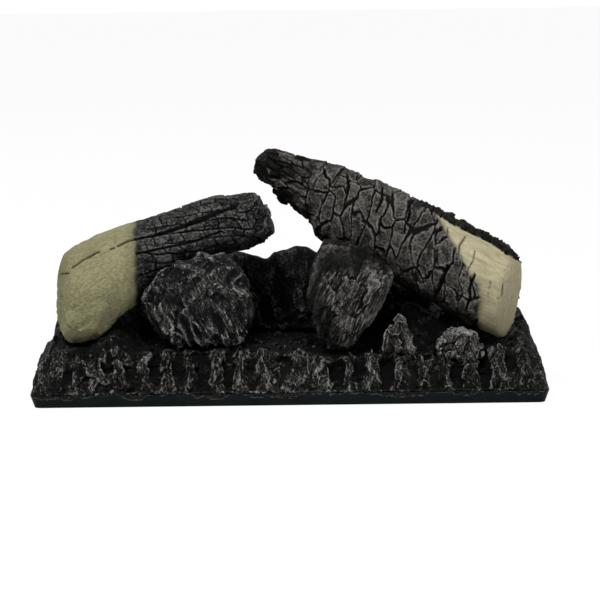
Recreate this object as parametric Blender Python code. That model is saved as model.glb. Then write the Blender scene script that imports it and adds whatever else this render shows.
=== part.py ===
"""Log and ember bed of an electric stove: charred logs over a hollow ember bed that is lit from below.

The two upper logs stand on pegs and lift off. Metres, +Z up, +Y towards the back of the stove, and the
origin under the middle of the tray.
"""

import functools
import math

import bmesh
import bpy
from mathutils import Matrix, Vector, noise
from mathutils.bvhtree import BVHTree

# Clearances and overruns that more than one piece uses
FIT_GAP = 0.0003
CUT_OVERRUN = 0.004
NEST_GAP = 0.0008
LOG_GAP = 0.0016
SHALLOW_LAP = 0.0015

# Tray: a shallow pan with drafted walls that closes the ember bed from below
TRAY_WIDTH = 0.450
TRAY_DEPTH = 0.180
TRAY_HEIGHT = 0.0105
TRAY_DRAFT = 0.004
TRAY_WALL = 0.003
TRAY_FLOOR = 0.0025
TRAY_CORNER_RADIUS = 0.010
CORNER_STEPS = 4

# Screws, and the pads, bosses and posts that take them
SCREW_RADIUS = 0.0015
SCREW_HEAD_RADIUS = 0.003
SCREW_HEAD_HEIGHT = 0.002
SCREW_HOLE_GAP = 0.0004
SCREW_TIP_GAP = 0.001
HEAD_CROWN_SHARE = 0.62
SCREW_TIP_SHARE = 0.30
SCREW_SIDES = 10
TRAY_SCREW_LENGTH = 0.012
FOOT_SCREW_LENGTH = 0.016
BOARD_SCREW_LENGTH = 0.0045
HEAD_SIDE_GAP = 0.0012
HEAD_SINK = 0.0010
PAD_WALL = 0.0033
PAD_FLOOR = 0.0025
POST_WALL = 0.0041
POST_SIDES = 10
BOSS_WALL = 0.0021
BOSS_HEIGHT = 0.004
TRAY_SCREW_X_SHARES = (-0.415, 0.0, 0.415)
TRAY_SCREW_Y_SHARES = (-0.270, 0.340)
REAR_LEFT_SCREW_SHARE = 0.20
REAR_RIGHT_SCREW_SHARE = 0.77
SPOT_FACE_DEPTH = 0.0004

# Ember bed: the hollow moulding that carries the logs
BED_INSET = 0.0012
BED_WALL = 0.005
FIN_RUN = 0.034
FIN_HEIGHT = 0.031
TERRACE_RISE = 0.034
BACK_RUN = 0.014
BED_ROUGHNESS = 0.0032
BED_ROUGHNESS_PITCH = 0.016
EMBER_LUMP_RISE = 0.0030
EMBER_LUMP_PITCH = 0.026

# Light chamber inside the bed
CHAMBER_END_INSET = 0.016
CHAMBER_FRONT_INSET = 0.015
CHAMBER_FRONT_RUN = 0.024
CHAMBER_FRONT_RISE = 0.006
CHAMBER_BACK_INSET = 0.012
CHAMBER_COLUMNS = 20
CHAMBER_ROWS = 8

# Each ember fin along the front: centre as a share of the width, height as a share of FIN_HEIGHT
FIN_SHARES = (
    (0.012, 0.62), (0.050, 1.00), (0.092, 0.98), (0.126, 1.14), (0.166, 0.98), (0.216, 1.12),
    (0.264, 1.32), (0.306, 0.94), (0.358, 1.34), (0.406, 1.00), (0.446, 1.40), (0.482, 0.92),
    (0.510, 1.24), (0.538, 1.06), (0.572, 1.00), (0.616, 1.18), (0.658, 1.30), (0.719, 1.00),
    (0.758, 0.66), (0.800, 0.90), (0.850, 0.84), (0.907, 1.38), (0.950, 1.30), (0.988, 0.80),
)
FIN_HALF_WIDTH_SHARE = 0.024
# Front slope on a fin and in the gap beside it: shares of FIN_RUN and of FIN_HEIGHT
FIN_PATH_SHARES = (
    (0.00, 0.00), (0.05, 0.26), (0.13, 0.56), (0.24, 0.84), (0.36, 1.00), (0.50, 0.97),
    (0.66, 0.86), (0.82, 0.88),
)
GAP_PATH_SHARES = (
    (0.15, 0.00), (0.22, 0.14), (0.31, 0.30), (0.42, 0.46), (0.54, 0.60), (0.66, 0.72),
    (0.78, 0.83), (0.90, 0.95),
)
TERRACE_ROW_SHARES = (0.00, 0.11, 0.23, 0.36, 0.50, 0.64, 0.80, 1.00)
BACK_PATH_SHARES = ((0.45, 0.86), (0.72, 0.58), (0.90, 0.28), (1.00, 0.00))
# How the bed falls away at its two ends: distance over END_RUN, height left
END_RUN = 0.022
END_FALL_SHARES = ((0.0, 0.22), (0.12, 0.44), (0.32, 0.66), (0.58, 0.82), (0.80, 0.95), (1.0, 1.0))
# Ridge along the back of the bed: place along X as a share of the bed's width, height over the terrace
# as a share of RIDGE_RISE. It dips where the rear log lies and starts to climb at RIDGE_FRONT_INSET
RIDGE_RISE = 0.040
RIDGE_FRONT_INSET = 0.0468
RIDGE_RUN = 0.070
RIDGE_SHARES = (
    (-0.500, 0.0), (-0.468, 0.04), (-0.460, 0.55), (-0.452, 0.84), (-0.400, 0.98), (-0.340, 1.04),
    (-0.296, 1.00), (-0.280, 0.60), (-0.262, 0.10), (0.205, 0.10), (0.221, 0.92), (0.240, 0.96),
    (0.262, 0.84), (0.285, 0.60), (0.335, 0.30), (0.385, 0.16), (0.425, 0.24), (0.452, 0.46),
    (0.472, 0.44), (0.480, 0.04), (0.500, 0.0),
)
CRADLE_RADIUS = 0.040
CRADLE_RISE = 0.030
FLAT_BLEND = 0.010
FOOT_MARGIN = 0.004
FOOT_REACH_SHARE = 0.70

# Upper logs. Rows give the place along the log, and how far it reaches up, down, to the front and to
# the back as shares of its radius; the last is the lean of a broken end. Insets are measured from the
# bed's front edge and rises from its terrace
LEFT_LOG_LENGTH_SHARE = 0.4345
LEFT_LOG_RADIUS = 0.040
LEFT_LOG_BUTT_X_SHARE = -0.4417
LEFT_LOG_BUTT_INSET = 0.0588
LEFT_LOG_BUTT_RISE = 0.0461
LEFT_LOG_RISE_DEG = 17.66
LEFT_LOG_TURN_DEG = 10.57
LEFT_LOG_SHARES = (
    (-0.012, 0.66, 0.74, 0.66, 0.58, 0.36), (0.004, 0.86, 0.96, 0.84, 0.74, 0.36),
    (0.050, 0.93, 1.12, 0.95, 0.81, 0.32), (0.095, 0.95, 1.22, 1.00, 0.84, 0.28),
    (0.150, 0.98, 1.14, 1.00, 0.86, 0.22), (0.220, 1.01, 0.92, 0.96, 0.84, 0.12),
    (0.300, 1.01, 0.76, 0.88, 0.80, 0.0), (0.370, 1.01, 0.60, 0.82, 0.78, 0.0),
    (0.450, 0.99, 0.46, 0.78, 0.75, 0.0), (0.540, 0.98, 0.41, 0.75, 0.72, 0.0),
    (0.630, 0.96, 0.38, 0.72, 0.70, 0.0), (0.720, 0.97, 0.38, 0.70, 0.68, 0.0),
    (0.800, 0.93, 0.40, 0.67, 0.65, 0.0), (0.870, 0.85, 0.44, 0.62, 0.60, 0.0),
    (0.930, 0.81, 0.44, 0.56, 0.54, 0.0), (0.975, 0.73, 0.38, 0.48, 0.46, 0.0),
    (1.002, 0.56, 0.28, 0.36, 0.34, 0.0), (1.012, 0.36, 0.18, 0.24, 0.22, 0.0),
)

RIGHT_LOG_LENGTH_SHARE = 0.5655
RIGHT_LOG_RADIUS = 0.042
RIGHT_LOG_TIP_X_SHARE = -0.0492
RIGHT_LOG_TIP_INSET = 0.1368
RIGHT_LOG_TIP_RISE = 0.1449
RIGHT_LOG_FALL_DEG = 25.5
RIGHT_LOG_TURN_DEG = -18.4
RIGHT_LOG_SHARES = (
    (-0.034, 0.26, 0.12, 0.20, 0.20, 0.0), (-0.018, 0.46, 0.22, 0.34, 0.34, 0.0),
    (0.012, 0.58, 0.27, 0.42, 0.42, 0.0), (0.060, 0.61, 0.32, 0.46, 0.46, 0.0),
    (0.110, 0.67, 0.49, 0.50, 0.50, 0.0), (0.155, 0.73, 0.42, 0.52, 0.52, 0.0),
    (0.200, 0.80, 0.50, 0.56, 0.55, 0.0), (0.245, 0.86, 0.50, 0.60, 0.58, 0.0),
    (0.275, 0.88, 0.72, 0.70, 0.64, 0.0), (0.330, 0.92, 0.78, 0.78, 0.70, 0.0),
    (0.420, 0.97, 0.77, 0.82, 0.76, 0.0), (0.510, 1.01, 0.78, 0.85, 0.80, 0.0),
    (0.600, 1.04, 0.79, 0.88, 0.84, 0.0), (0.690, 1.06, 0.82, 0.90, 0.86, 0.0),
    (0.780, 1.07, 0.86, 0.92, 0.88, 0.0), (0.870, 1.06, 0.91, 0.93, 0.88, -0.06),
    (0.945, 1.01, 0.90, 0.92, 0.86, -0.22), (0.992, 0.95, 0.86, 0.88, 0.80, -0.30),
    (1.004, 0.78, 0.72, 0.72, 0.66, -0.30),
)
LOG_SIDES = 18
LOG_ROUGHNESS = 0.0016
LOG_ROUGHNESS_PITCH = 0.014

# Burnt cracks round the right log, at these of its rows, and the V that each one has
RIGHT_LOG_CRACK_SHARES = (0.330, 0.420, 0.510, 0.600, 0.690, 0.780)
CRACK_HALF_WIDTH = 0.0024
CRACK_DEPTH = 0.0020
CRACK_SWAY = 0.0024
CRACK_WAVES = 3
LIFT_TRAVEL = 0.100

# Seats of the upper logs: a round post that enters a flat recess, with a loose peg through both.
# Shares give the place of the seats along each log, from its first end
LEFT_LOG_OUTER_SEAT_SHARE = 0.150
LEFT_LOG_INNER_SEAT_SHARE = 0.620
RIGHT_LOG_INNER_SEAT_SHARE = 0.360
RIGHT_LOG_OUTER_SEAT_SHARE = 0.880
SEAT_RADIUS = 0.010
SEAT_SIDE_GAP = 0.001
SEAT_RECESS = 0.007
SEAT_POST_LENGTH = 0.024
RECESS_OVERRUN_SHARE = 1.5
PEG_RADIUS = 0.0035
PEG_HALF_LENGTH = 0.011
PEG_GAP = 0.0003
PEG_SIDES = 12

# Short logs and embers lie front to back on flat feet. Their outlines are shares of the radius across
# and upwards, and the foot share is how far the foot lies below the axis. Sinks go below the terrace
LEFT_SUPPORT_X_SHARE = -0.1743
LEFT_SUPPORT_INSET = 0.0278
LEFT_SUPPORT_LENGTH = 0.088
LEFT_SUPPORT_RADIUS = 0.044
LEFT_SUPPORT_SINK = 0.0003
LEFT_SUPPORT_TURN_DEG = 95.0
LEFT_SUPPORT_CLIMB_DEG = 5.0
LEFT_SUPPORT_FOOT_SHARE = 0.862
LEFT_SUPPORT_SHARES = (
    (1.15, 0.01), (1.06, 0.34), (0.84, 0.66), (0.42, 0.92), (-0.10, 1.06), (-0.48, 1.02), (-0.82, 0.80),
    (-1.06, 0.30), (-1.16, -0.16), (-1.12, -0.56), (-0.96, -0.84), (-0.66, -0.96), (-0.16, -0.97),
    (0.34, -0.92), (0.78, -0.72), (1.06, -0.34),
)
RIGHT_SUPPORT_X_SHARE = 0.1175
RIGHT_SUPPORT_INSET = 0.0278
RIGHT_SUPPORT_LENGTH = 0.096
RIGHT_SUPPORT_RADIUS = 0.040
RIGHT_SUPPORT_SINK = 0.0063
RIGHT_SUPPORT_TURN_DEG = 86.0
RIGHT_SUPPORT_CLIMB_DEG = 13.0
RIGHT_SUPPORT_FOOT_SHARE = 1.028
RIGHT_SUPPORT_SHARES = (
    (0.70, 1.02), (0.88, 0.58), (0.96, 0.17), (0.94, -0.18), (0.80, -0.62), (0.55, -1.08), (0.12, -1.12),
    (-0.20, -0.90), (-0.46, -0.56), (-0.68, -0.24), (-0.82, 0.10), (-0.94, 0.50), (-0.68, 0.86),
    (-0.33, 1.04), (0.06, 1.11), (0.42, 1.14),
)
MIDDLE_EMBER_X_SHARE = 0.2107
MIDDLE_EMBER_INSET = 0.0268
MIDDLE_EMBER_LENGTH = 0.024
MIDDLE_EMBER_RADIUS = 0.020
MIDDLE_EMBER_SINK = 0.0063
MIDDLE_EMBER_TURN_DEG = 84.0
MIDDLE_EMBER_FOOT_SHARE = 0.825
MIDDLE_EMBER_SHARES = (
    (-0.04, 1.00), (0.30, 0.64), (0.58, 0.06), (0.72, -0.50), (0.66, -0.96), (0.07, -1.10),
    (-0.52, -1.00), (-0.72, -0.56), (-0.62, -0.08), (-0.38, 0.36), (-0.26, 0.78),
)
RIGHT_EMBER_X_SHARE = 0.3331
RIGHT_EMBER_INSET = 0.0208
RIGHT_EMBER_LENGTH = 0.036
RIGHT_EMBER_RADIUS = 0.020
RIGHT_EMBER_SINK = 0.0103
RIGHT_EMBER_TURN_DEG = 92.0
RIGHT_EMBER_FOOT_SHARE = 0.275
RIGHT_EMBER_SHARES = (
    (0.86, 0.64), (1.02, 0.14), (1.04, -0.50), (0.74, -1.00), (0.0, -1.10), (-0.76, -1.00),
    (-1.02, -0.48), (-0.98, 0.20), (-0.70, 0.78), (-0.10, 1.06), (0.50, 1.00),
)
# How the outline of a short log closes in towards its two ends: place along it, size left
SHORT_LOG_END_SHARES = (
    (-0.03, 0.56), (0.00, 0.78), (0.07, 0.93), (0.20, 1.00), (0.50, 1.02), (0.78, 0.97), (0.93, 0.82),
    (1.00, 0.58),
)
# The rear log lies across the back; its rows read like those of the upper logs
REAR_LOG_X_SHARE = -0.2860
REAR_LOG_INSET = 0.0328
REAR_LOG_LENGTH_SHARE = 0.5273
REAR_LOG_RADIUS = 0.040
REAR_LOG_SINK = 0.0003
REAR_LOG_FOOT_SHARE = 0.888
REAR_LOG_SHARES = (
    (-0.012, 0.02, 0.50, 0.26, 0.26, 0.0), (0.000, 0.16, 0.86, 0.40, 0.40, 0.0),
    (0.060, 0.38, 1.00, 0.48, 0.46, 0.0), (0.150, 0.58, 1.04, 0.50, 0.47, 0.0),
    (0.250, 0.82, 1.04, 0.50, 0.47, 0.0), (0.340, 0.94, 1.04, 0.49, 0.46, 0.0),
    (0.420, 0.86, 1.04, 0.48, 0.46, 0.0), (0.463, 0.76, 1.04, 0.46, 0.44, 0.0),
    (0.485, 0.92, 1.04, 0.50, 0.46, 0.0), (0.530, 0.93, 1.04, 0.51, 0.47, 0.0),
    (0.568, 1.05, 1.04, 0.52, 0.47, 0.0), (0.616, 1.03, 1.04, 0.52, 0.47, 0.0),
    (0.655, 0.84, 1.04, 0.50, 0.46, 0.0), (0.740, 0.80, 1.04, 0.50, 0.46, 0.0),
    (0.840, 0.62, 1.04, 0.50, 0.46, 0.0), (0.940, 0.34, 1.00, 0.46, 0.44, 0.0),
    (0.990, 0.16, 0.86, 0.38, 0.36, 0.0), (1.004, 0.02, 0.50, 0.26, 0.26, 0.0),
)
REAR_LOG_SIDES = 16

# Lamps: two boards with warm lamps, and the small board that makes them flicker
LAMP_BOARD_END_INSET = 0.055
LAMP_BOARD_WIDTH = 0.012
BOARD_THICKNESS = 0.0016
FRONT_BOARD_Y_SHARE = -0.135
LAMP_SIDE = 0.005
LAMP_HEIGHT = 0.0016
LAMP_COUNT = 12
LAMP_SPAN_SHARE = 0.84
SOLDER_LAP = 0.0002
LAMP_BOARD_SCREW_SHARE = 0.44
FLICKER_BOARD_LENGTH = 0.056
FLICKER_BOARD_WIDTH = 0.026
FLICKER_BOARD_X_SHARE = 0.2122
FLICKER_BOARD_BACK_INSET = 0.0308
BOARD_SPACING = 0.009
FLICKER_BOARD_SCREW_SHARE = 0.42
CHIP_SIDE = 0.009
CHIP_HEIGHT = 0.0022
CONNECTOR_LENGTH = 0.007
CONNECTOR_DEPTH = 0.005
CONNECTOR_HEIGHT = 0.005

# Supply inlet in the back wall, and the leads inside
INLET_X_SHARE = 0.3016
INLET_RISE = 0.014
INLET_PAD_HALF_SIDE = 0.009
INLET_PAD_DEPTH = 0.013
INLET_FACE_INSET = 0.003
INLET_BARREL_RADIUS = 0.004
INLET_FLANGE_RADIUS = 0.0055
INLET_FLANGE_THICKNESS = 0.0015
INLET_SOCKET_RADIUS = 0.00275
INLET_SOCKET_DEPTH = 0.009
INLET_PIN_RADIUS = 0.001
INLET_TAIL = 0.0045
INLET_SIDES = 16
NUT_RADIUS = 0.0065
NUT_THICKNESS = 0.0025
NUT_SIDES = 6
LEAD_RADIUS = 0.0011
LEAD_STEPS = 3

# Angle above which two faces of a cast or turned piece meet in a sharp edge
SHARP_ANGLE_DEG = 40.0

BED_BASE_Z = TRAY_HEIGHT + FIT_GAP
BED_WIDTH = TRAY_WIDTH - 2 * BED_INSET
BED_DEPTH = TRAY_DEPTH - 2 * BED_INSET
BED_FRONT_Y = -BED_DEPTH / 2
BED_BACK_Y = BED_DEPTH / 2
TERRACE_Z = BED_BASE_Z + TERRACE_RISE
SCREW_HOLE_RADIUS = SCREW_RADIUS + SCREW_HOLE_GAP
COUNTERBORE_RADIUS = SCREW_HEAD_RADIUS + HEAD_SIDE_GAP
COUNTERBORE_DEPTH = SCREW_HEAD_HEIGHT + HEAD_SINK
PAD_RADIUS = COUNTERBORE_RADIUS + PAD_WALL
PAD_TOP_Z = COUNTERBORE_DEPTH + PAD_FLOOR
POST_RADIUS = SCREW_HOLE_RADIUS + POST_WALL
POST_BOTTOM_Z = PAD_TOP_Z + FIT_GAP
BOSS_RADIUS = SCREW_HOLE_RADIUS + BOSS_WALL
BOSS_TOP_Z = TRAY_FLOOR + BOSS_HEIGHT
BOARD_Z = BOSS_TOP_Z + FIT_GAP
BOARD_TOP_Z = BOARD_Z + BOARD_THICKNESS
INLET_Z = BED_BASE_Z + INLET_RISE
INLET_FACE_Y = BED_BACK_Y - INLET_FACE_INSET
INLET_LENGTH = INLET_PAD_DEPTH + NUT_THICKNESS + INLET_TAIL
INLET_X = INLET_X_SHARE * BED_WIDTH
FLICKER_BOARD_X = FLICKER_BOARD_X_SHARE * BED_WIDTH
FLICKER_BOARD_Y = BED_BACK_Y - FLICKER_BOARD_BACK_INSET
REAR_BOARD_Y = FLICKER_BOARD_Y - FLICKER_BOARD_WIDTH / 2 - BOARD_SPACING - LAMP_BOARD_WIDTH / 2
FRONT_BOARD_Y = FRONT_BOARD_Y_SHARE * BED_DEPTH
LAMP_BOARD_LENGTH = TRAY_WIDTH - 2 * LAMP_BOARD_END_INSET
LEFT_LOG_LENGTH = LEFT_LOG_LENGTH_SHARE * BED_WIDTH
LEFT_LOG_BUTT_X = LEFT_LOG_BUTT_X_SHARE * BED_WIDTH
RIGHT_LOG_LENGTH = RIGHT_LOG_LENGTH_SHARE * BED_WIDTH
RIGHT_LOG_TIP_X = RIGHT_LOG_TIP_X_SHARE * BED_WIDTH
REAR_LOG_LENGTH = REAR_LOG_LENGTH_SHARE * BED_WIDTH
REAR_LOG_X = REAR_LOG_X_SHARE * BED_WIDTH
REAR_LOG_Y = BED_BACK_Y - REAR_LOG_INSET
REAR_LOG_FOOT_Z = TERRACE_Z - REAR_LOG_SINK
REAR_LOG_Z = REAR_LOG_FOOT_Z + REAR_LOG_FOOT_SHARE * REAR_LOG_RADIUS
TRAY_SCREW_PLACES = [
    (x_share * BED_WIDTH, y_share * BED_DEPTH)
    for x_share in TRAY_SCREW_X_SHARES
    for y_share in TRAY_SCREW_Y_SHARES
]


def short_form(outline, x_share, inset, length, radius, sink, foot_share, turn_deg, climb_deg=0.0):
    """Everything that a short log or ember is built from."""
    foot_z = TERRACE_Z - sink
    return {
        "outline": outline, "length": length, "radius": radius, "foot_z": foot_z,
        "x": x_share * BED_WIDTH, "y": BED_FRONT_Y + inset, "z": foot_z + foot_share * radius,
        "turn_deg": turn_deg, "climb_deg": climb_deg,
    }


SHORT_LOGS = {
    "left_support_log": short_form(
        LEFT_SUPPORT_SHARES, LEFT_SUPPORT_X_SHARE, LEFT_SUPPORT_INSET,
        LEFT_SUPPORT_LENGTH, LEFT_SUPPORT_RADIUS, LEFT_SUPPORT_SINK,
        LEFT_SUPPORT_FOOT_SHARE, LEFT_SUPPORT_TURN_DEG, LEFT_SUPPORT_CLIMB_DEG),
    "right_support_log": short_form(
        RIGHT_SUPPORT_SHARES, RIGHT_SUPPORT_X_SHARE, RIGHT_SUPPORT_INSET,
        RIGHT_SUPPORT_LENGTH, RIGHT_SUPPORT_RADIUS, RIGHT_SUPPORT_SINK,
        RIGHT_SUPPORT_FOOT_SHARE, RIGHT_SUPPORT_TURN_DEG, RIGHT_SUPPORT_CLIMB_DEG),
    "middle_ember": short_form(
        MIDDLE_EMBER_SHARES, MIDDLE_EMBER_X_SHARE, MIDDLE_EMBER_INSET,
        MIDDLE_EMBER_LENGTH, MIDDLE_EMBER_RADIUS, MIDDLE_EMBER_SINK,
        MIDDLE_EMBER_FOOT_SHARE, MIDDLE_EMBER_TURN_DEG),
    "right_ember": short_form(
        RIGHT_EMBER_SHARES, RIGHT_EMBER_X_SHARE, RIGHT_EMBER_INSET,
        RIGHT_EMBER_LENGTH, RIGHT_EMBER_RADIUS, RIGHT_EMBER_SINK,
        RIGHT_EMBER_FOOT_SHARE, RIGHT_EMBER_TURN_DEG),
}


def make_material(name, colour, roughness, metallic=0.0):
    material = bpy.data.materials.new(name)
    material.use_nodes = True
    shader = material.node_tree.nodes["Principled BSDF"]
    shader.inputs["Base Color"].default_value = (*colour, 1.0)
    shader.inputs["Roughness"].default_value = roughness
    shader.inputs["Metallic"].default_value = metallic
    return material


def add_object(name, points, faces, material=None, matrix=None):
    """A closed mesh object with its faces turned outwards."""
    mesh = bpy.data.meshes.new(name)
    mesh.from_pydata(points, [], faces)
    built = bmesh.new()
    built.from_mesh(mesh)
    bmesh.ops.recalc_face_normals(built, faces=built.faces)
    built.to_mesh(mesh)
    built.free()
    thing = bpy.data.objects.new(name, mesh)
    bpy.context.scene.collection.objects.link(thing)
    if material:
        mesh.materials.append(material)
    if matrix:
        thing.matrix_world = matrix
    return thing


def loft(rings, flat_ends=False):
    """Points and faces of a body through equal rings, with a fan or one flat face over each end."""
    sides = len(rings[0])
    points = [point for ring in rings for point in ring]
    faces = []
    for row in range(len(rings) - 1):
        for side in range(sides):
            after = (side + 1) % sides
            first, second = row * sides, (row + 1) * sides
            faces.append((first + side, first + after, second + after, second + side))
    last = (len(rings) - 1) * sides
    if flat_ends:
        return points, [*faces, tuple(range(sides)), tuple(range(last, last + sides))]
    for start, ring in ((0, rings[0]), (last, rings[-1])):
        centre = sum((Vector(point) for point in ring), Vector()) / sides
        points.append(tuple(centre))
        for side in range(sides):
            faces.append((start + side, start + (side + 1) % sides, len(points) - 1))
    return points, faces


def circle(radius, height, sides):
    turns = [2 * math.pi * side / sides for side in range(sides)]
    return [(radius * math.cos(turn), radius * math.sin(turn), height) for turn in turns]


def turned(name, profile, sides, material=None, matrix=None):
    """A body turned about its own Z through (radius, height) pairs, with a flat face at both ends."""
    points, faces = loft([circle(radius, height, sides) for radius, height in profile], True)
    return add_object(name, points, faces, material, matrix)


def rod(name, radius, low, high, sides, material=None, matrix=None):
    return turned(name, ((radius, low), (radius, high)), sides, material, matrix)


def block(name, low, high, material=None):
    points = [(x, y, z) for x in (low[0], high[0]) for y in (low[1], high[1]) for z in (low[2], high[2])]
    faces = [(0, 1, 3, 2), (4, 6, 7, 5), (0, 4, 5, 1), (2, 3, 7, 6), (0, 2, 6, 4), (1, 5, 7, 3)]
    return add_object(name, points, faces, material)


def combine(target, tools, operation):
    """Cuts tools from target, or joins them to it, one after another, and removes them."""
    for tool in tools:
        modifier = target.modifiers.new("shape", "BOOLEAN")
        modifier.operation = operation
        modifier.object = tool
        bpy.context.view_layer.update()
        graph = bpy.context.evaluated_depsgraph_get()
        shaped = bpy.data.meshes.new_from_object(target.evaluated_get(graph))
        target.modifiers.remove(modifier)
        target.data = shaped
        bpy.data.objects.remove(tool)


def cut(target, *tools):
    combine(target, tools, "DIFFERENCE")


def join(target, *tools):
    combine(target, tools, "UNION")


def shade(thing):
    thing.data.shade_smooth()
    thing.data.set_sharp_from_angle(angle=math.radians(SHARP_ANGLE_DEG))


def log_matrix(corner, rise_deg, turn_deg):
    """The frame of a log: X along it, Y towards its back and Z square to it, upwards."""
    turn = Matrix.Rotation(math.radians(turn_deg), 4, "Z")
    rise = Matrix.Rotation(math.radians(-rise_deg), 4, "Y")
    return Matrix.Translation(corner) @ turn @ rise


def cracked_rows(shares, cracks, length):
    """Rows of a log as (place along it, sizes, lean, depth, wave), with three rows for each crack."""
    for along, *sizes, lean in shares:
        if along in cracks:
            for step, depth in ((-1, 0.0), (0, CRACK_DEPTH), (1, 0.0)):
                yield along * length + step * CRACK_HALF_WIDTH, sizes, lean, depth, along * length / CRACK_SWAY
        else:
            yield along * length, sizes, lean, 0.0, None


def log_rings(shares, length, radius, sides, grow=0.0, slot=0.0, cracks=()):
    """Rings of a log in its own frame. grow adds a clearance; slot carries the upper half straight up."""
    rings = []
    rows = list(cracked_rows(shares, cracks, length))
    for row, (along, (up, down, near, far), lean, depth, wave) in enumerate(rows):
        end = (row == len(rows) - 1) - (row == 0)
        ring = []
        for side in range(sides):
            turn = 2 * math.pi * side / sides
            shift = 0.0 if wave is None else CRACK_SWAY * math.sin(CRACK_WAVES * turn + wave)
            across, rising = math.cos(turn), math.sin(turn)
            half_height = (up + down) / 2 * radius + grow - depth
            middle = (up - down) / 2 * radius
            half_width = (far if across > 0 else near) * radius + grow - depth
            if slot and rising > 0:
                across, rising = (part / max(abs(across), rising) for part in (across, rising))
                half_height += slot
            point = Vector((along + shift + end * grow, half_width * across, middle + half_height * rising))
            point.x += lean * point.z
            if not (slot and rising > 0):
                outward = Vector((0, across, rising))
                point += outward * LOG_ROUGHNESS * noise.noise(point / LOG_ROUGHNESS_PITCH)
            ring.append(tuple(point))
        rings.append(ring)
    return rings


def underside(shares, radius, along):
    """Height of a log's underside in its own frame, at a share of its length."""
    for before, after in zip(shares, shares[1:]):
        if before[0] <= along <= after[0]:
            part = (along - before[0]) / (after[0] - before[0])
            return -radius * (before[2] + part * (after[2] - before[2]))
    raise ValueError("the seat lies beyond the end of the log")


def upper_log(name, shares, length, radius, matrix, material=None, grow=0.0, slot=0.0, cracks=()):
    points, faces = loft(log_rings(shares, length, radius, LOG_SIDES, grow, slot, cracks))
    return add_object(name, points, faces, material, matrix)


@functools.lru_cache(maxsize=None)
def upper_logs():
    """Rows, length, radius, frame and seats of both upper logs, by name."""
    left_corner = (LEFT_LOG_BUTT_X, BED_FRONT_Y + LEFT_LOG_BUTT_INSET, TERRACE_Z + LEFT_LOG_BUTT_RISE)
    right_corner = (RIGHT_LOG_TIP_X, BED_FRONT_Y + RIGHT_LOG_TIP_INSET, TERRACE_Z + RIGHT_LOG_TIP_RISE)
    left = log_matrix(left_corner, LEFT_LOG_RISE_DEG, LEFT_LOG_TURN_DEG)
    right = log_matrix(right_corner, -RIGHT_LOG_FALL_DEG, RIGHT_LOG_TURN_DEG)
    return {
        "left_log": (LEFT_LOG_SHARES, LEFT_LOG_LENGTH, LEFT_LOG_RADIUS, left,
                     (("outer", LEFT_LOG_OUTER_SEAT_SHARE), ("inner", LEFT_LOG_INNER_SEAT_SHARE))),
        "right_log": (RIGHT_LOG_SHARES, RIGHT_LOG_LENGTH, RIGHT_LOG_RADIUS, right,
                      (("inner", RIGHT_LOG_INNER_SEAT_SHARE), ("outer", RIGHT_LOG_OUTER_SEAT_SHARE))),
    }


def log_slots():
    """The upper logs with their clearance, open upwards so that they lift out of what they lie in."""
    return [
        upper_log("slot", shares, length, radius, matrix, None, LOG_GAP, LIFT_TRAVEL)
        for shares, length, radius, matrix, _ in upper_logs().values()
    ]


@functools.lru_cache(maxsize=None)
def seats(name):
    """Frames of an upper log's seats: origin on the flat of the recess, Z the way the log lifts."""
    shares, length, radius, matrix, places = upper_logs()[name]
    frames = {}
    for side, along in places:
        flat = underside(shares, radius, along) + SEAT_RECESS
        frames[side] = matrix @ Matrix.Translation((along * length, 0, flat))
    return frames


def seat_post(frame):
    """The post that an upper log stands on."""
    return rod("post", SEAT_RADIUS, -SEAT_POST_LENGTH, -FIT_GAP, PEG_SIDES, None, frame)


def peg_hole(frame):
    depth = PEG_HALF_LENGTH + PEG_GAP
    return rod("hole", PEG_RADIUS + PEG_GAP, -depth, depth, PEG_SIDES, None, frame)


def seat_recess(frame):
    low = -RECESS_OVERRUN_SHARE * SEAT_POST_LENGTH
    return rod("recess", SEAT_RADIUS + SEAT_SIDE_GAP, low, 0, PEG_SIDES, None, frame)


def make_upper_log(name, material):
    shares, length, radius, matrix, _ = upper_logs()[name]
    cracks = RIGHT_LOG_CRACK_SHARES if name == "right_log" else ()
    log = upper_log(name, shares, length, radius, matrix, material, cracks=cracks)
    for frame in seats(name).values():
        cut(log, seat_recess(frame), peg_hole(frame))
    shade(log)


def make_pegs(material):
    reach = PEG_HALF_LENGTH
    for name in upper_logs():
        for side, frame in seats(name).items():
            rod(f"{name}_{side}_peg", PEG_RADIUS, -reach, reach, PEG_SIDES, material, frame)


def outline_rings(form, gap):
    """Rings of a short log in its own frame: its outline, closing in towards both ends."""
    rings = []
    last = len(SHORT_LOG_END_SHARES) - 1
    for row, (along, size) in enumerate(SHORT_LOG_END_SHARES):
        end = (row == last) - (row == 0)
        ring = []
        for across, rising in form["outline"]:
            point = Vector((along * form["length"] + end * gap, across, rising))
            point.yz *= form["radius"] * size + gap
            point.yz += point.yz.normalized() * LOG_ROUGHNESS * noise.noise(point / LOG_ROUGHNESS_PITCH)
            ring.append(tuple(point))
        rings.append(ring)
    return rings


def stand_on_foot(log, foot_z):
    """Cuts a log off flat at the height of its foot."""
    built = bmesh.new()
    built.from_mesh(log.data)
    everything = [*built.verts, *built.edges, *built.faces]
    bmesh.ops.bisect_plane(built, geom=everything, plane_co=(0, 0, foot_z), plane_no=(0, 0, -1),
                           clear_outer=True)
    bmesh.ops.holes_fill(built, edges=[edge for edge in built.edges if edge.is_boundary])
    bmesh.ops.recalc_face_normals(built, faces=built.faces)
    built.to_mesh(log.data)
    built.free()


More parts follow.
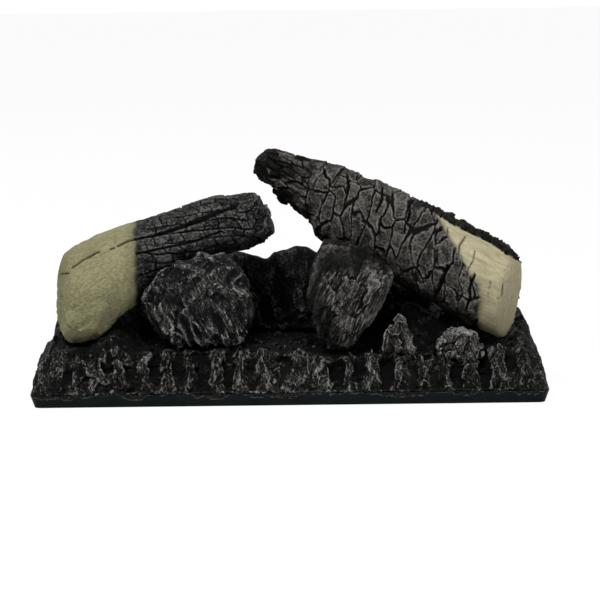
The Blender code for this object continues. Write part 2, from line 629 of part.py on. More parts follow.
def short_log(name, material=None, gap=0.0):
    """A short log or ember, with a flat foot where it stands on the bed."""
    form = SHORT_LOGS[name]
    points, faces = loft(outline_rings(form, gap))
    matrix = log_matrix((form["x"], form["y"], form["z"]), form["climb_deg"], form["turn_deg"])
    log = add_object(name, [tuple(matrix @ Vector(point)) for point in points], faces, material)
    stand_on_foot(log, form["foot_z"] + FIT_GAP)
    return log


def rear_log(material=None, gap=0.0):
    rings = log_rings(REAR_LOG_SHARES, REAR_LOG_LENGTH, REAR_LOG_RADIUS, REAR_LOG_SIDES, gap)
    points, faces = loft(rings)
    corner = Vector((REAR_LOG_X, REAR_LOG_Y, REAR_LOG_Z))
    log = add_object("rear_log", [tuple(corner + Vector(point)) for point in points], faces, material)
    stand_on_foot(log, REAR_LOG_FOOT_Z + FIT_GAP)
    return log


def middle_of(form):
    """Where the middle of a short log lies, seen from above."""
    turn = math.radians(form["turn_deg"])
    reach = form["length"] / 2
    return form["x"] + reach * math.cos(turn), form["y"] + reach * math.sin(turn)


def foot_screws():
    """The log, the place and the foot's height of every screw that holds a log from below."""
    screws = {}
    for name in ("left_support_log", "right_support_log"):
        form = SHORT_LOGS[name]
        screws[f"{name}_screw"] = (name, *middle_of(form), form["foot_z"])
    for side, share in (("left", REAR_LEFT_SCREW_SHARE), ("right", REAR_RIGHT_SCREW_SHARE)):
        x = REAR_LOG_X + share * REAR_LOG_LENGTH
        screws[f"rear_log_{side}_screw"] = ("rear_log", x, REAR_LOG_Y, REAR_LOG_FOOT_Z)
    return screws


def screw_seat(foot_z):
    """Height that a foot screw's head bears on: spot-faced into the bed's wall from below."""
    return foot_z - BED_WALL + SPOT_FACE_DEPTH


def make_short_logs(material):
    logs = {name: short_log(name, material) for name in SHORT_LOGS}
    logs["rear_log"] = rear_log(material)
    for log in logs.values():
        cut(log, *log_slots())
    cut(logs["rear_log"], short_log("left_support_log", None, LOG_GAP),
        short_log("right_support_log", None, LOG_GAP))
    cut(logs["middle_ember"], short_log("right_support_log", None, LOG_GAP))
    for side in ("left", "right"):
        inner_seat = seats(f"{side}_log")["inner"]
        join(logs[f"{side}_support_log"], seat_post(inner_seat))
        cut(logs[f"{side}_support_log"], peg_hole(inner_seat))
    for name, x, y, foot_z in foot_screws().values():
        high = screw_seat(foot_z) + FOOT_SCREW_LENGTH + SCREW_TIP_GAP
        cut(logs[name], upright(SCREW_HOLE_RADIUS, foot_z - CUT_OVERRUN, high, x, y, SCREW_SIDES))
    for log in logs.values():
        shade(log)


def fin_at(x):
    """How far a point along the front lies on a fin, from 0 to 1, and that fin's height share."""
    best, height = 0.0, 1.0
    for centre, share in FIN_SHARES:
        distance = abs(x / BED_WIDTH + 1 / 2 - centre) / FIN_HALF_WIDTH_SHARE
        rise = max(0.0, 1 - distance * distance)
        if rise > best:
            best, height = rise, share
    return best, height


def end_fall(x):
    """What is left of the bed's height near its two ends."""
    return between(END_FALL_SHARES, (BED_WIDTH / 2 - abs(x)) / END_RUN)


def between(rows, place):
    """Value of a table of (place, value) rows at a place between its ends."""
    for (low, first), (high, second) in zip(rows, rows[1:]):
        if place <= high:
            return first + (second - first) * max(0.0, place - low) / (high - low)
    return rows[-1][1]


def smooth_step(part):
    part = min(1.0, max(0.0, part))
    return part * part * (3 - 2 * part)


@functools.lru_cache(maxsize=None)
def log_undersides():
    """The upper logs with their clearance, ready to be looked up from below."""
    trees = []
    for shares, length, radius, matrix, _ in upper_logs().values():
        points, faces = loft(log_rings(shares, length, radius, LOG_SIDES, LOG_GAP))
        trees.append(BVHTree.FromPolygons([matrix @ Vector(point) for point in points], faces))
    return trees


def flats():
    """Centre, half sizes and height of every flat that a short log or the rear log stands on."""
    for form in SHORT_LOGS.values():
        half_width = form["radius"] * FOOT_REACH_SHARE + FOOT_MARGIN
        yield middle_of(form), half_width, form["length"] / 2 + FOOT_MARGIN, form["foot_z"]
    reach = REAR_LOG_LENGTH / 2
    half_depth = REAR_LOG_RADIUS / 2 + FOOT_MARGIN
    yield (REAR_LOG_X + reach, REAR_LOG_Y), reach + FOOT_MARGIN, half_depth, REAR_LOG_FOOT_Z


def bump(x, y, z):
    """The moulded roughness of the bed at one point."""
    return BED_ROUGHNESS * noise.noise(Vector((x, y, z)) / BED_ROUGHNESS_PITCH)


@functools.lru_cache(maxsize=None)
def terrace_height(x, y):
    """Height of the bed behind its fins: a rough terrace, the ridge, a cradle round each outer seat,
    flats under the short logs, and no higher than the upper logs leave room for."""
    ridge = RIDGE_RISE * between(RIDGE_SHARES, x / BED_WIDTH)
    ridge_y = BED_FRONT_Y + RIDGE_FRONT_INSET
    height = TERRACE_Z + ridge * smooth_step((y - ridge_y) / RIDGE_RUN) + bump(x, y, TERRACE_Z)
    height += EMBER_LUMP_RISE * noise.noise(Vector((x, y, TERRACE_Z)) / EMBER_LUMP_PITCH)
    for name in upper_logs():
        distance = math.dist((x, y), seats(name)["outer"].translation.xy)
        height += CRADLE_RISE * smooth_step(1 - distance / CRADLE_RADIUS)
    for (centre_x, centre_y), half_x, half_y, foot_z in flats():
        outside = max(abs(x - centre_x) - half_x, abs(y - centre_y) - half_y, 0)
        height += max(0.0, 1 - outside / FLAT_BLEND) * (foot_z - height)
    for tree in log_undersides():
        above = tree.ray_cast(Vector((x, y, 0)), Vector((0, 0, 1)))[0]
        if above:
            height = min(height, above.z)
    return height


def bed_column(x):
    """Points of the bed's outside across it at one x, from the front rim over the top to the back rim."""
    rise, height_share = fin_at(x)
    fall = end_fall(x)
    points = []
    for fin, gap in zip(FIN_PATH_SHARES, GAP_PATH_SHARES):
        run = gap[0] + rise * (fin[0] - gap[0])
        lift = gap[1] + rise * (fin[1] * height_share - gap[1])
        y, z = BED_FRONT_Y + run * FIN_RUN, BED_BASE_Z + lift * FIN_HEIGHT * fall
        points.append((x, y, z + bump(x, y, z) * lift))
    start, end = BED_FRONT_Y + FIN_RUN, BED_BACK_Y - BACK_RUN
    for share in TERRACE_ROW_SHARES:
        y = start + share * (end - start)
        points.append((x, y, BED_BASE_Z + (terrace_height(x, y) - BED_BASE_Z) * fall))
    top = points[-1][2] - BED_BASE_Z
    for run, lift in BACK_PATH_SHARES:
        y, z = end + run * BACK_RUN, BED_BASE_Z + lift * top
        points.append((x, y, z + bump(x, y, z) * lift))
    return points


def column_places():
    """Places of the bed's columns along X: where the ends fall away, on each fin and midway between fins."""
    ends = [BED_WIDTH / 2 - share * END_RUN for share, _ in END_FALL_SHARES[:-1]]
    fins = [(share - 1 / 2) * BED_WIDTH for share, _ in FIN_SHARES]
    fins = [x for x in fins if abs(x) < ends[-1]]
    valleys = [(first + second) / 2 for first, second in zip(fins, fins[1:])]
    return sorted([-x for x in ends] + fins + valleys + ends)


def sheet_body(name, columns, material=None):
    """A closed body between columns of points over a flat bottom."""
    rows = len(columns[0])
    points = [point for column in columns for point in column]
    faces = []
    for first in range(len(columns) - 1):
        for row in range(rows - 1):
            here, there = first * rows + row, (first + 1) * rows + row
            faces.append((here, here + 1, there + 1, there))
        faces.append((first * rows + rows - 1, first * rows, (first + 1) * rows, (first + 2) * rows - 1))
    faces.append(tuple(range(rows)))
    faces.append(tuple(reversed(range(len(points) - rows, len(points)))))
    return add_object(name, points, faces, material)


def bed_outside(material):
    return sheet_body("ember_bed", [bed_column(x) for x in column_places()], material)


@functools.lru_cache(maxsize=None)
def chamber_top(x, y):
    """Height of the light chamber: the bed's wall below the lowest terrace near by, low behind the fins."""
    ramp = (y - BED_FRONT_Y - CHAMBER_FRONT_INSET) / CHAMBER_FRONT_RUN
    steps = (-FLAT_BLEND, 0, FLAT_BLEND)
    full = min(terrace_height(x + step, y + other) for step in steps for other in steps) - BED_WALL
    front = BED_BASE_Z + CHAMBER_FRONT_RISE
    return front + min(1.0, max(0.0, ramp)) * (full - front)


def chamber():
    """The hollow inside the ember bed, with an overrun below its rim."""
    half = BED_WIDTH / 2 - CHAMBER_END_INSET
    front, back = BED_FRONT_Y + CHAMBER_FRONT_INSET, BED_BACK_Y - CHAMBER_BACK_INSET
    columns = []
    for step in range(CHAMBER_COLUMNS + 1):
        x = half * (2 * step / CHAMBER_COLUMNS - 1)
        rows = [front + (back - front) * row / CHAMBER_ROWS for row in range(CHAMBER_ROWS + 1)]
        bottom = BED_BASE_Z - CUT_OVERRUN
        columns.append([(x, front, bottom)] + [(x, y, chamber_top(x, y)) for y in rows] + [(x, back, bottom)])
    return sheet_body("chamber", columns)


def upright(radius, low, high, x, y, sides):
    return rod("upright", radius, low, high, sides, None, Matrix.Translation((x, y, 0)))


def inlet_line(gap):
    """The frame of the supply inlet: Z runs into the bed, from a face that stands gap off its pad."""
    return Matrix.Translation((INLET_X, INLET_FACE_Y + gap, INLET_Z)) @ Matrix.Rotation(math.pi / 2, 4, "X")


def make_ember_bed(material):
    bed = bed_outside(material)
    cut(bed, chamber())
    cut(bed, *(short_log(name, None, NEST_GAP) for name in SHORT_LOGS), rear_log(None, NEST_GAP))
    cut(bed, *log_slots())
    join(bed, *(
        upright(POST_RADIUS, POST_BOTTOM_Z, chamber_top(x, y) + SHALLOW_LAP, x, y, POST_SIDES)
        for x, y in TRAY_SCREW_PLACES
    ))
    join(bed, *(seat_post(seats(name)["outer"]) for name in upper_logs()))
    pad_half = INLET_PAD_HALF_SIDE
    join(bed, block("pad", (INLET_X - pad_half, INLET_FACE_Y - INLET_PAD_DEPTH, INLET_Z - pad_half),
                    (INLET_X + pad_half, INLET_FACE_Y, INLET_Z + pad_half)))
    cut(bed, *(peg_hole(seats(name)["outer"]) for name in upper_logs()))
    low, high = POST_BOTTOM_Z - CUT_OVERRUN, COUNTERBORE_DEPTH + TRAY_SCREW_LENGTH + SCREW_TIP_GAP
    for x, y in TRAY_SCREW_PLACES:
        cut(bed, upright(SCREW_HOLE_RADIUS, low, high, x, y, SCREW_SIDES))
    for _, x, y, foot_z in foot_screws().values():
        low = foot_z - BED_WALL - CUT_OVERRUN
        cut(bed, upright(SCREW_HOLE_RADIUS, low, foot_z + CUT_OVERRUN, x, y, SCREW_SIDES),
            upright(SCREW_HEAD_RADIUS + SEAT_SIDE_GAP, low, screw_seat(foot_z), x, y, SCREW_SIDES))
    line = inlet_line(0)
    bore, recess = INLET_BARREL_RADIUS + FIT_GAP, INLET_FLANGE_RADIUS + SEAT_SIDE_GAP
    cut(bed, rod("bore", bore, -CUT_OVERRUN, INLET_PAD_DEPTH + CUT_OVERRUN, INLET_SIDES, None, line),
        rod("recess", recess, -CUT_OVERRUN, 0, INLET_SIDES, None, line))
    shade(bed)
    return bed


def rounded_rectangle(inset, z):
    """The tray's outline, drawn in by inset, at one height."""
    radius = TRAY_CORNER_RADIUS - inset
    reach_x, reach_y = TRAY_WIDTH / 2 - TRAY_CORNER_RADIUS, TRAY_DEPTH / 2 - TRAY_CORNER_RADIUS
    points = []
    for quarter in range(4):
        corner_x = reach_x if quarter in (0, 3) else -reach_x
        corner_y = reach_y if quarter in (0, 1) else -reach_y
        for step in range(CORNER_STEPS + 1):
            turn = (quarter + step / CORNER_STEPS) * math.pi / 2
            points.append((corner_x + radius * math.cos(turn), corner_y + radius * math.sin(turn), z))
    return points


def board_screw_places():
    """Centres of the screws that hold the three boards."""
    reach = LAMP_BOARD_SCREW_SHARE * LAMP_BOARD_LENGTH
    places = {
        "front_lamp_board": [(-reach, FRONT_BOARD_Y), (reach, FRONT_BOARD_Y)],
        "rear_lamp_board": [(-reach, REAR_BOARD_Y), (reach, REAR_BOARD_Y)],
    }
    reach = FLICKER_BOARD_SCREW_SHARE * FLICKER_BOARD_LENGTH
    places["flicker_board"] = [(FLICKER_BOARD_X + side * reach, FLICKER_BOARD_Y) for side in (-1, 1)]
    return places


def make_tray(material):
    """The tray: outside up, over the rim and down the inside, as one loft of rounded rectangles."""
    inner_drop = TRAY_DRAFT * (TRAY_HEIGHT - TRAY_FLOOR) / TRAY_HEIGHT
    rings = [
        rounded_rectangle(TRAY_DRAFT, 0),
        rounded_rectangle(0, TRAY_HEIGHT),
        rounded_rectangle(TRAY_WALL, TRAY_HEIGHT),
        rounded_rectangle(TRAY_WALL + inner_drop, TRAY_FLOOR),
    ]
    tray = add_object("base_tray", *loft(rings, True), material)
    middle_z = TRAY_FLOOR / 2
    join(tray, *(upright(PAD_RADIUS, middle_z, PAD_TOP_Z, x, y, SCREW_SIDES) for x, y in TRAY_SCREW_PLACES))
    hole_z = BOARD_TOP_Z - BOARD_SCREW_LENGTH - SCREW_TIP_GAP
    for places in board_screw_places().values():
        join(tray, *(upright(BOSS_RADIUS, middle_z, BOSS_TOP_Z, x, y, SCREW_SIDES) for x, y in places))
        cut(tray, *(upright(SCREW_HOLE_RADIUS, hole_z, BOSS_TOP_Z + CUT_OVERRUN, x, y, SCREW_SIDES)
                    for x, y in places))
    for x, y in TRAY_SCREW_PLACES:
        cut(tray, upright(COUNTERBORE_RADIUS, -CUT_OVERRUN, COUNTERBORE_DEPTH, x, y, SCREW_SIDES),
            upright(SCREW_HOLE_RADIUS, -CUT_OVERRUN, PAD_TOP_Z + CUT_OVERRUN, x, y, SCREW_SIDES))


def screw(name, length, seat, direction, material):
    """A pan-head screw whose head bears on seat; direction is 1 where its point is up, -1 where down."""
    head = SCREW_HEAD_RADIUS
    profile = (
        (head * HEAD_CROWN_SHARE, -SCREW_HEAD_HEIGHT - FIT_GAP),
        (head, -SCREW_HEAD_HEIGHT * HEAD_CROWN_SHARE - FIT_GAP), (head, -FIT_GAP), (SCREW_RADIUS, -FIT_GAP),
        (SCREW_RADIUS, length - SCREW_RADIUS), (SCREW_RADIUS * SCREW_TIP_SHARE, length),
    )
    flip = Matrix.Identity(4) if direction > 0 else Matrix.Rotation(math.pi, 4, "X")
    made = turned(name, profile, SCREW_SIDES, material, Matrix.Translation(seat) @ flip)
    shade(made)


def make_screws(material):
    for number, (x, y) in enumerate(TRAY_SCREW_PLACES, 1):
        screw(f"tray_screw_{number}", TRAY_SCREW_LENGTH, (x, y, COUNTERBORE_DEPTH), 1, material)
    for name, (_, x, y, foot_z) in foot_screws().items():
        screw(name, FOOT_SCREW_LENGTH, (x, y, screw_seat(foot_z)), 1, material)
    for board, places in board_screw_places().items():
        for side, (x, y) in zip(("left", "right"), places):
            screw(f"{board}_{side}_screw", BOARD_SCREW_LENGTH, (x, y, BOARD_TOP_Z), -1, material)


def make_board(name, centre, length, width, material, raised):
    """A circuit board with what is soldered on it; raised lists (x, y, half x, half y, height)."""
    x, y = centre
    low = (x - length / 2, y - width / 2, BOARD_Z)
    board = block(name, low, (x + length / 2, y + width / 2, BOARD_TOP_Z), material)
    for part_x, part_y, half_x, half_y, height in raised:
        join(board, block("part", (part_x - half_x, part_y - half_y, BOARD_TOP_Z - SOLDER_LAP),
                          (part_x + half_x, part_y + half_y, BOARD_TOP_Z + height)))
    for hole_x, hole_y in board_screw_places()[name]:
        cut(board, upright(SCREW_HOLE_RADIUS, BOARD_Z - CUT_OVERRUN, BOARD_TOP_Z + CUT_OVERRUN,
                           hole_x, hole_y, SCREW_SIDES))


def connector(x, y):
    return x, y, CONNECTOR_LENGTH / 2, CONNECTOR_DEPTH / 2, CONNECTOR_HEIGHT


def board_connectors():
    """Centre of the connector on each board that a lead plugs into."""
    lamp_x = LAMP_BOARD_LENGTH / 2 - CONNECTOR_LENGTH / 2
    edge = FLICKER_BOARD_Y - FLICKER_BOARD_WIDTH / 2 + CONNECTOR_DEPTH / 2
    return {
        "front_lamp_board": (lamp_x, FRONT_BOARD_Y),
        "rear_lamp_board": (lamp_x, REAR_BOARD_Y),
        "flicker_front": (FLICKER_BOARD_X + CONNECTOR_LENGTH, edge),
        "flicker_rear": (FLICKER_BOARD_X - CONNECTOR_LENGTH, edge),
        "flicker_supply": (FLICKER_BOARD_X + CONNECTOR_LENGTH, 2 * FLICKER_BOARD_Y - edge),
    }


def make_boards(material):
    places = board_connectors()
    pitch = LAMP_BOARD_LENGTH * LAMP_SPAN_SHARE / LAMP_COUNT
    for name, y in (("front_lamp_board", FRONT_BOARD_Y), ("rear_lamp_board", REAR_BOARD_Y)):
        lamps = [((step + 1 / 2 - LAMP_COUNT / 2) * pitch, y, LAMP_SIDE / 2, LAMP_SIDE / 2, LAMP_HEIGHT)
                 for step in range(LAMP_COUNT)]
        make_board(name, (0, y), LAMP_BOARD_LENGTH, LAMP_BOARD_WIDTH, material,
                   lamps + [connector(*places[name])])
    chip = (FLICKER_BOARD_X - CHIP_SIDE, FLICKER_BOARD_Y, CHIP_SIDE / 2, CHIP_SIDE / 2, CHIP_HEIGHT)
    sockets = [connector(*places[key]) for key in ("flicker_front", "flicker_rear", "flicker_supply")]
    make_board("flicker_board", (FLICKER_BOARD_X, FLICKER_BOARD_Y), FLICKER_BOARD_LENGTH, FLICKER_BOARD_WIDTH,
               material, [chip, *sockets])


def make_inlet(metal, plastic):
    line = inlet_line(FIT_GAP)
    barrel, flange = INLET_BARREL_RADIUS, INLET_FLANGE_RADIUS
    profile = (
        (INLET_PIN_RADIUS, 0), (INLET_PIN_RADIUS, INLET_SOCKET_DEPTH - INLET_FLANGE_THICKNESS),
        (INLET_SOCKET_RADIUS, INLET_SOCKET_DEPTH - INLET_FLANGE_THICKNESS),
        (INLET_SOCKET_RADIUS, -INLET_FLANGE_THICKNESS), (flange, -INLET_FLANGE_THICKNESS), (flange, 0),
        (barrel, 0), (barrel, INLET_LENGTH),
    )
    shade(turned("supply_inlet", profile, INLET_SIDES, plastic, line))
    low = INLET_PAD_DEPTH + 2 * FIT_GAP
    nut = rod("inlet_nut", NUT_RADIUS, low, low + NUT_THICKNESS, NUT_SIDES, metal, line)
    cut(nut, rod("bore", barrel + FIT_GAP, 0, INLET_LENGTH, INLET_SIDES, None, line))


def smooth_route(points, steps):
    """Points of a smooth curve through a lead's own points."""
    padded = [2 * points[0] - points[1], *points, 2 * points[-1] - points[-2]]
    route = []
    for a, b, c, d in zip(padded, padded[1:], padded[2:], padded[3:]):
        for step in range(steps):
            t = step / steps
            route.append(((2 * b) + (c - a) * t + (2 * a - 5 * b + 4 * c - d) * t * t
                          + (3 * b - a - 3 * c + d) * t ** 3) / 2)
    return [*route, points[-1]]


def lead(name, points, material):
    curve = bpy.data.curves.new(name, "CURVE")
    curve.dimensions = "3D"
    curve.bevel_depth = LEAD_RADIUS
    curve.bevel_resolution = 2
    curve.use_fill_caps = True
    spline = curve.splines.new("POLY")
    route = smooth_route([Vector(point) for point in points], LEAD_STEPS)
    spline.points.add(len(route) - 1)
    for target, point in zip(spline.points, route):
        target.co = (*point, 1)
    curve.materials.append(material)
    bpy.context.scene.collection.objects.link(bpy.data.objects.new(name, curve))


def make_leads(material):
    """The three leads, each held in the connectors at its two ends, along the bottom of the chamber."""
    places = board_connectors()
    plug_z = BOARD_TOP_Z + CONNECTOR_HEIGHT / 2
    low_z = TRAY_FLOOR + LEAD_RADIUS + FIT_GAP
    bend = CONNECTOR_DEPTH
    front_face = CONNECTOR_DEPTH / 2 + FIT_GAP
    end_face = CONNECTOR_LENGTH / 2 + FIT_GAP
    rear_x = places["rear_lamp_board"][0] + end_face
    out_x = rear_x + 2 * bend
    behind_y = REAR_BOARD_Y + LAMP_BOARD_WIDTH / 2 + bend

    x, y = places["flicker_front"]
    lead("front_lamp_lead", [
        (x, y - front_face, plug_z),
        (x, y - front_face - bend / 2, plug_z),
        (x + bend, behind_y, low_z + bend / 2),
        ((x + out_x) / 2, behind_y, low_z),
        (out_x + bend, REAR_BOARD_Y, low_z),
        (out_x + bend, (REAR_BOARD_Y + FRONT_BOARD_Y) / 2, low_z),
        (out_x, FRONT_BOARD_Y + bend / 2, low_z + bend / 2),
        (rear_x + bend, FRONT_BOARD_Y, plug_z),
        (rear_x, FRONT_BOARD_Y, plug_z),
    ], material)

    x, y = places["flicker_rear"]
    beside_y = (REAR_BOARD_Y + y) / 2
    lead("rear_lamp_lead", [
        (x, y - front_face, plug_z),
        (x, y - front_face - bend / 2, plug_z),
        (x + bend, beside_y, plug_z),
        ((x + out_x) / 2, beside_y, plug_z),
        (out_x - bend / 2, REAR_BOARD_Y + bend, plug_z),
        (out_x - bend / 2, REAR_BOARD_Y + bend / 2, plug_z),
        (rear_x + bend / 2, REAR_BOARD_Y, plug_z),
        (rear_x, REAR_BOARD_Y, plug_z),
    ], material)

    x, y = places["flicker_supply"]
    tail_y = INLET_FACE_Y - INLET_LENGTH
    lead("supply_lead", [
        (INLET_X, tail_y, INLET_Z),
        (INLET_X, tail_y - bend / 2, INLET_Z),
        (INLET_X, tail_y - bend, INLET_Z - bend / 2),
        (INLET_X - bend, y, plug_z + bend / 2),
        (x + end_face + bend, y, plug_z),
        (x + end_face, y, plug_z),
    ], material)


def main():
    for thing in list(bpy.data.objects):
        bpy.data.objects.remove(thing)
    black_resin = make_material("black_resin", (0.020, 0.020, 0.019), 0.72)
    charred_log = make_material("charred_log", (0.035, 0.034, 0.032), 0.70)
    tray_plastic = make_material("tray_plastic", (0.010, 0.014, 0.015), 0.48)
    dowel_wood = make_material("dowel_wood", (0.48, 0.34, 0.19), 0.65)
    zinc = make_material("zinc", (0.55, 0.55, 0.53), 0.35, 1.0)
    board_green = make_material("board_green", (0.03, 0.15, 0.07), 0.45)
    lead_black = make_material("lead_black", (0.02, 0.02, 0.02), 0.50)
    make_tray(tray_plastic)
    make_ember_bed(black_resin)
    make_short_logs(charred_log)
    for name in upper_logs():
        make_upper_log(name, charred_log)
    make_pegs(dowel_wood)
    make_screws(zinc)
    make_boards(board_green)
    make_inlet(zinc, lead_black)
    make_leads(lead_black)


main()
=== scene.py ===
"""Scene of the stove's log and ember bed: cast logs with burnt, cracked faces over a moulded ember bed.

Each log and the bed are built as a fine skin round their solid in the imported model. The skin is cast from a
spine or a core inside the solid, softened, and then carved with the cracks, flakes and ridges of burnt wood.
Seats are cut into the upper logs, and loose embers lie on the bed.
"""

import itertools
import math

import bmesh
import bpy
import numpy as np
from mathutils import Matrix, Vector
from mathutils.bvhtree import BVHTree
from mathutils.geometry import tessellate_polygon


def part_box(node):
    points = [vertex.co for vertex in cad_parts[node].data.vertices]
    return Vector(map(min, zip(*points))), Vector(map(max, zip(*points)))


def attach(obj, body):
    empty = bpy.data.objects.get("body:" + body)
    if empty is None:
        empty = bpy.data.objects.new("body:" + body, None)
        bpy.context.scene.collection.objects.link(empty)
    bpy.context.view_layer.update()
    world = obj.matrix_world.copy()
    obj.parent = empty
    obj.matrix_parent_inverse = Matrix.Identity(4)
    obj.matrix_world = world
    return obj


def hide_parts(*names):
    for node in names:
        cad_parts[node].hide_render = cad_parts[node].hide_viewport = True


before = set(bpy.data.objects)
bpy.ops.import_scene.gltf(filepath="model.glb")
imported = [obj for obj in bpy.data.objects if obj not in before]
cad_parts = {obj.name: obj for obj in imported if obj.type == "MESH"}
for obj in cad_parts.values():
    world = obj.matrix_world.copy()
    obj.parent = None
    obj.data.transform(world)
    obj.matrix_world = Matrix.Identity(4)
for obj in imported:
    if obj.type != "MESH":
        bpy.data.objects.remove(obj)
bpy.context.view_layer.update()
MM = 0.001

# Stands for a distance further than any on the piece
FAR = 9.0

# The photograph's front view: its width in pixels, the width of a pixel, where the view's own axes cross in
# it, its small roll, and how much height and depth show in it from a camera that looks down by 8 degrees
PHOTO_PIXELS = 600
PIXEL = 0.872 * MM
VIEW_X, VIEW_Y = 290, 405
ROLL = 0.0118
RISE_SHARE, DEPTH_SHARE, FRONT_Y = 0.990, 0.139, -0.090


def from_view(x, y):
    """Place across and upwards in the front view, in metres, of a point of the photograph."""
    across, down = x - VIEW_X, y - VIEW_Y
    return (across - down * ROLL) * PIXEL, (-across * ROLL - down) * PIXEL


def view_line(places):
    """Points of the photograph as places in the front view."""
    return np.array([from_view(*place) for place in places])


def front_view(points):
    """Places across and upwards in the front view of points of the model."""
    upwards = RISE_SHARE * points[..., 2] + DEPTH_SHARE * (points[..., 1] - FRONT_Y)
    return np.stack([points[..., 0], upwards], -1)


def smooth_step(low, high, values):
    """From 0 at low to 1 at high, with soft ends."""
    part = np.clip((values - low) / (high - low), 0, 1)
    return part * part * (3 - 2 * part)


def mixed(first, second, part):
    return first + (second - first) * part


def beside(*values):
    """Values side by side, as the coordinates of places."""
    return np.stack(np.broadcast_arrays(*values), -1)


def hashed(cells, seed):
    """A number from 0 to 1 for every cell of a lattice."""
    bits = np.full(cells.shape[:-1], seed * 974711 + 12345, np.int64)
    for axis, prime in zip(range(cells.shape[-1]), (374761393, 668265263, 1442695041)):
        bits = (bits + cells[..., axis] * prime) & 0xFFFFFFFF
        bits = ((bits ^ (bits >> 13)) * 1274126177) & 0xFFFFFFFF
        bits ^= bits >> 16
    return (bits & 0xFFFF) / 65535.0


def soft_noise(points, seed=0):
    """Smooth noise from -1 to 1 at points given in cells."""
    base = np.floor(points).astype(np.int64)
    part = points - base
    part = part * part * (3 - 2 * part)
    total = 0.0
    for corner in itertools.product((0, 1), repeat=points.shape[-1]):
        shares = [part[..., axis] if side else 1 - part[..., axis] for axis, side in enumerate(corner)]
        total = total + np.prod(shares, 0) * hashed(base + np.array(corner), seed)
    return 2 * total - 1


def noise_vector(points, seed, parts=3):
    """Smooth noises side by side, to push places about."""
    return np.stack([soft_noise(points, seed + part) for part in range(parts)], -1)


def layered_noise(points, layers=4, seed=0):
    """Smooth noise in layers, each half as large and half as strong as the one before."""
    return sum(soft_noise(points * 2 ** layer, seed + layer) / 2 ** layer for layer in range(layers)) / 1.6


def ridged_noise(points, layers=3, seed=0):
    """Noise with sharp crests, from 0 to 1."""
    total = sum((1 - np.abs(soft_noise(points * 2 ** layer, seed + layer))) ** 2 / 2 ** layer
                for layer in range(layers))
    return total / 1.75


def furrows(flow, seed, depths):
    """Smooth hollows between sharp crests, as (height, crest lines): one layer per depth, each finer."""
    height, lines = 0.0, 0.0
    for layer, depth in enumerate(depths):
        value = np.abs(soft_noise(flow * 2.2 ** layer + 31.7 * layer, seed + layer))
        height = height - depth * value ** 0.85
        lines = np.maximum(lines, (1 - smooth_step(0.02, 0.13, value)) * depth / depths[0])
    return height, lines


def broken_cells(points, seed, jitter=0.95):
    """An irregular net of cells: distance to the nearest border, in cells, a number for each cell, and the
    height of a face that leans its own way in each."""
    base = np.floor(points).astype(np.int64)
    size = points.shape[:-1]
    near, second = np.full(size, FAR), np.full(size, FAR)
    near_at, second_at = np.zeros(points.shape), np.zeros(points.shape)
    number, lean = np.zeros(size), np.zeros(points.shape)

    def chances(cell, first):
        return np.stack([hashed(cell, first + axis) for axis in range(points.shape[-1])], -1)

    for corner in itertools.product((-1, 0, 1), repeat=points.shape[-1]):
        cell = base + np.array(corner)
        centre = cell + 0.5 + jitter * (chances(cell, seed) - 0.5)
        gap = ((centre - points) ** 2).sum(-1)
        closer = gap < near
        beats_second = ~closer & (gap < second)
        second = np.where(closer, near, np.where(beats_second, gap, second))
        second_at = np.where(closer[..., None], near_at, np.where(beats_second[..., None], centre, second_at))
        near = np.where(closer, gap, near)
        near_at = np.where(closer[..., None], centre, near_at)
        number = np.where(closer, hashed(cell, seed + 7), number)
        lean = np.where(closer[..., None], chances(cell, seed + 11) * 2 - 1, lean)
    apart = np.sqrt(((near_at - second_at) ** 2).sum(-1))
    return (second - near) / (2 * apart + 1e-9), number, (lean * (points - near_at)).sum(-1)


def blurred(field, rows, columns, wrap=True):
    """A grid of values, softened over so many rows and columns."""
    for axis, sigma in ((0, rows), (1, columns)):
        if sigma <= 0:
            continue
        reach = max(1, int(2.5 * sigma))
        weights = np.exp(-0.5 * (np.arange(-reach, reach + 1) / sigma) ** 2)
        weights /= weights.sum()
        widths = [(0, 0)] * field.ndim
        widths[axis] = (reach, reach)
        padded = np.pad(field, widths, mode="wrap" if axis == 1 and wrap else "edge")
        length = field.shape[axis]
        field = sum(weight * np.take(padded, range(start, start + length), axis)
                    for start, weight in enumerate(weights))
    return field


def normals(points, wrap=True):
    """Outward normals of a grid whose columns run round the piece."""
    if wrap:
        across = np.roll(points, 1, 1) - np.roll(points, -1, 1)
    else:
        across = np.gradient(points, axis=1)
    along = np.gradient(points, axis=0)
    made = np.cross(along, across)
    return made / (np.linalg.norm(made, axis=-1, keepdims=True) + 1e-12)


def line_distance(points, *lines):
    """Distance of front-view points to the nearest of some lines through points of the photograph."""
    best = np.full(points.shape[:-1], FAR)
    for line in lines:
        places = view_line(line)
        for start, end in zip(places, places[1:]):
            run = end - start
            part = np.clip(((points - start) @ run) / (run @ run), 0, 1)
            best = np.minimum(best, np.linalg.norm(points - start - part[..., None] * run, axis=-1))
    return best


def log_frame(corner, rise_deg, turn_deg):
    """First corner of a log and its axes: along it, towards its back, and upwards."""
    turn = Matrix.Rotation(math.radians(turn_deg), 3, "Z")
    rise = Matrix.Rotation(math.radians(-rise_deg), 3, "Y")
    return np.array(corner), np.array(turn @ rise)


# Logs: the frame of each, and its spine as (along, up) points of the line that its skin is cast from

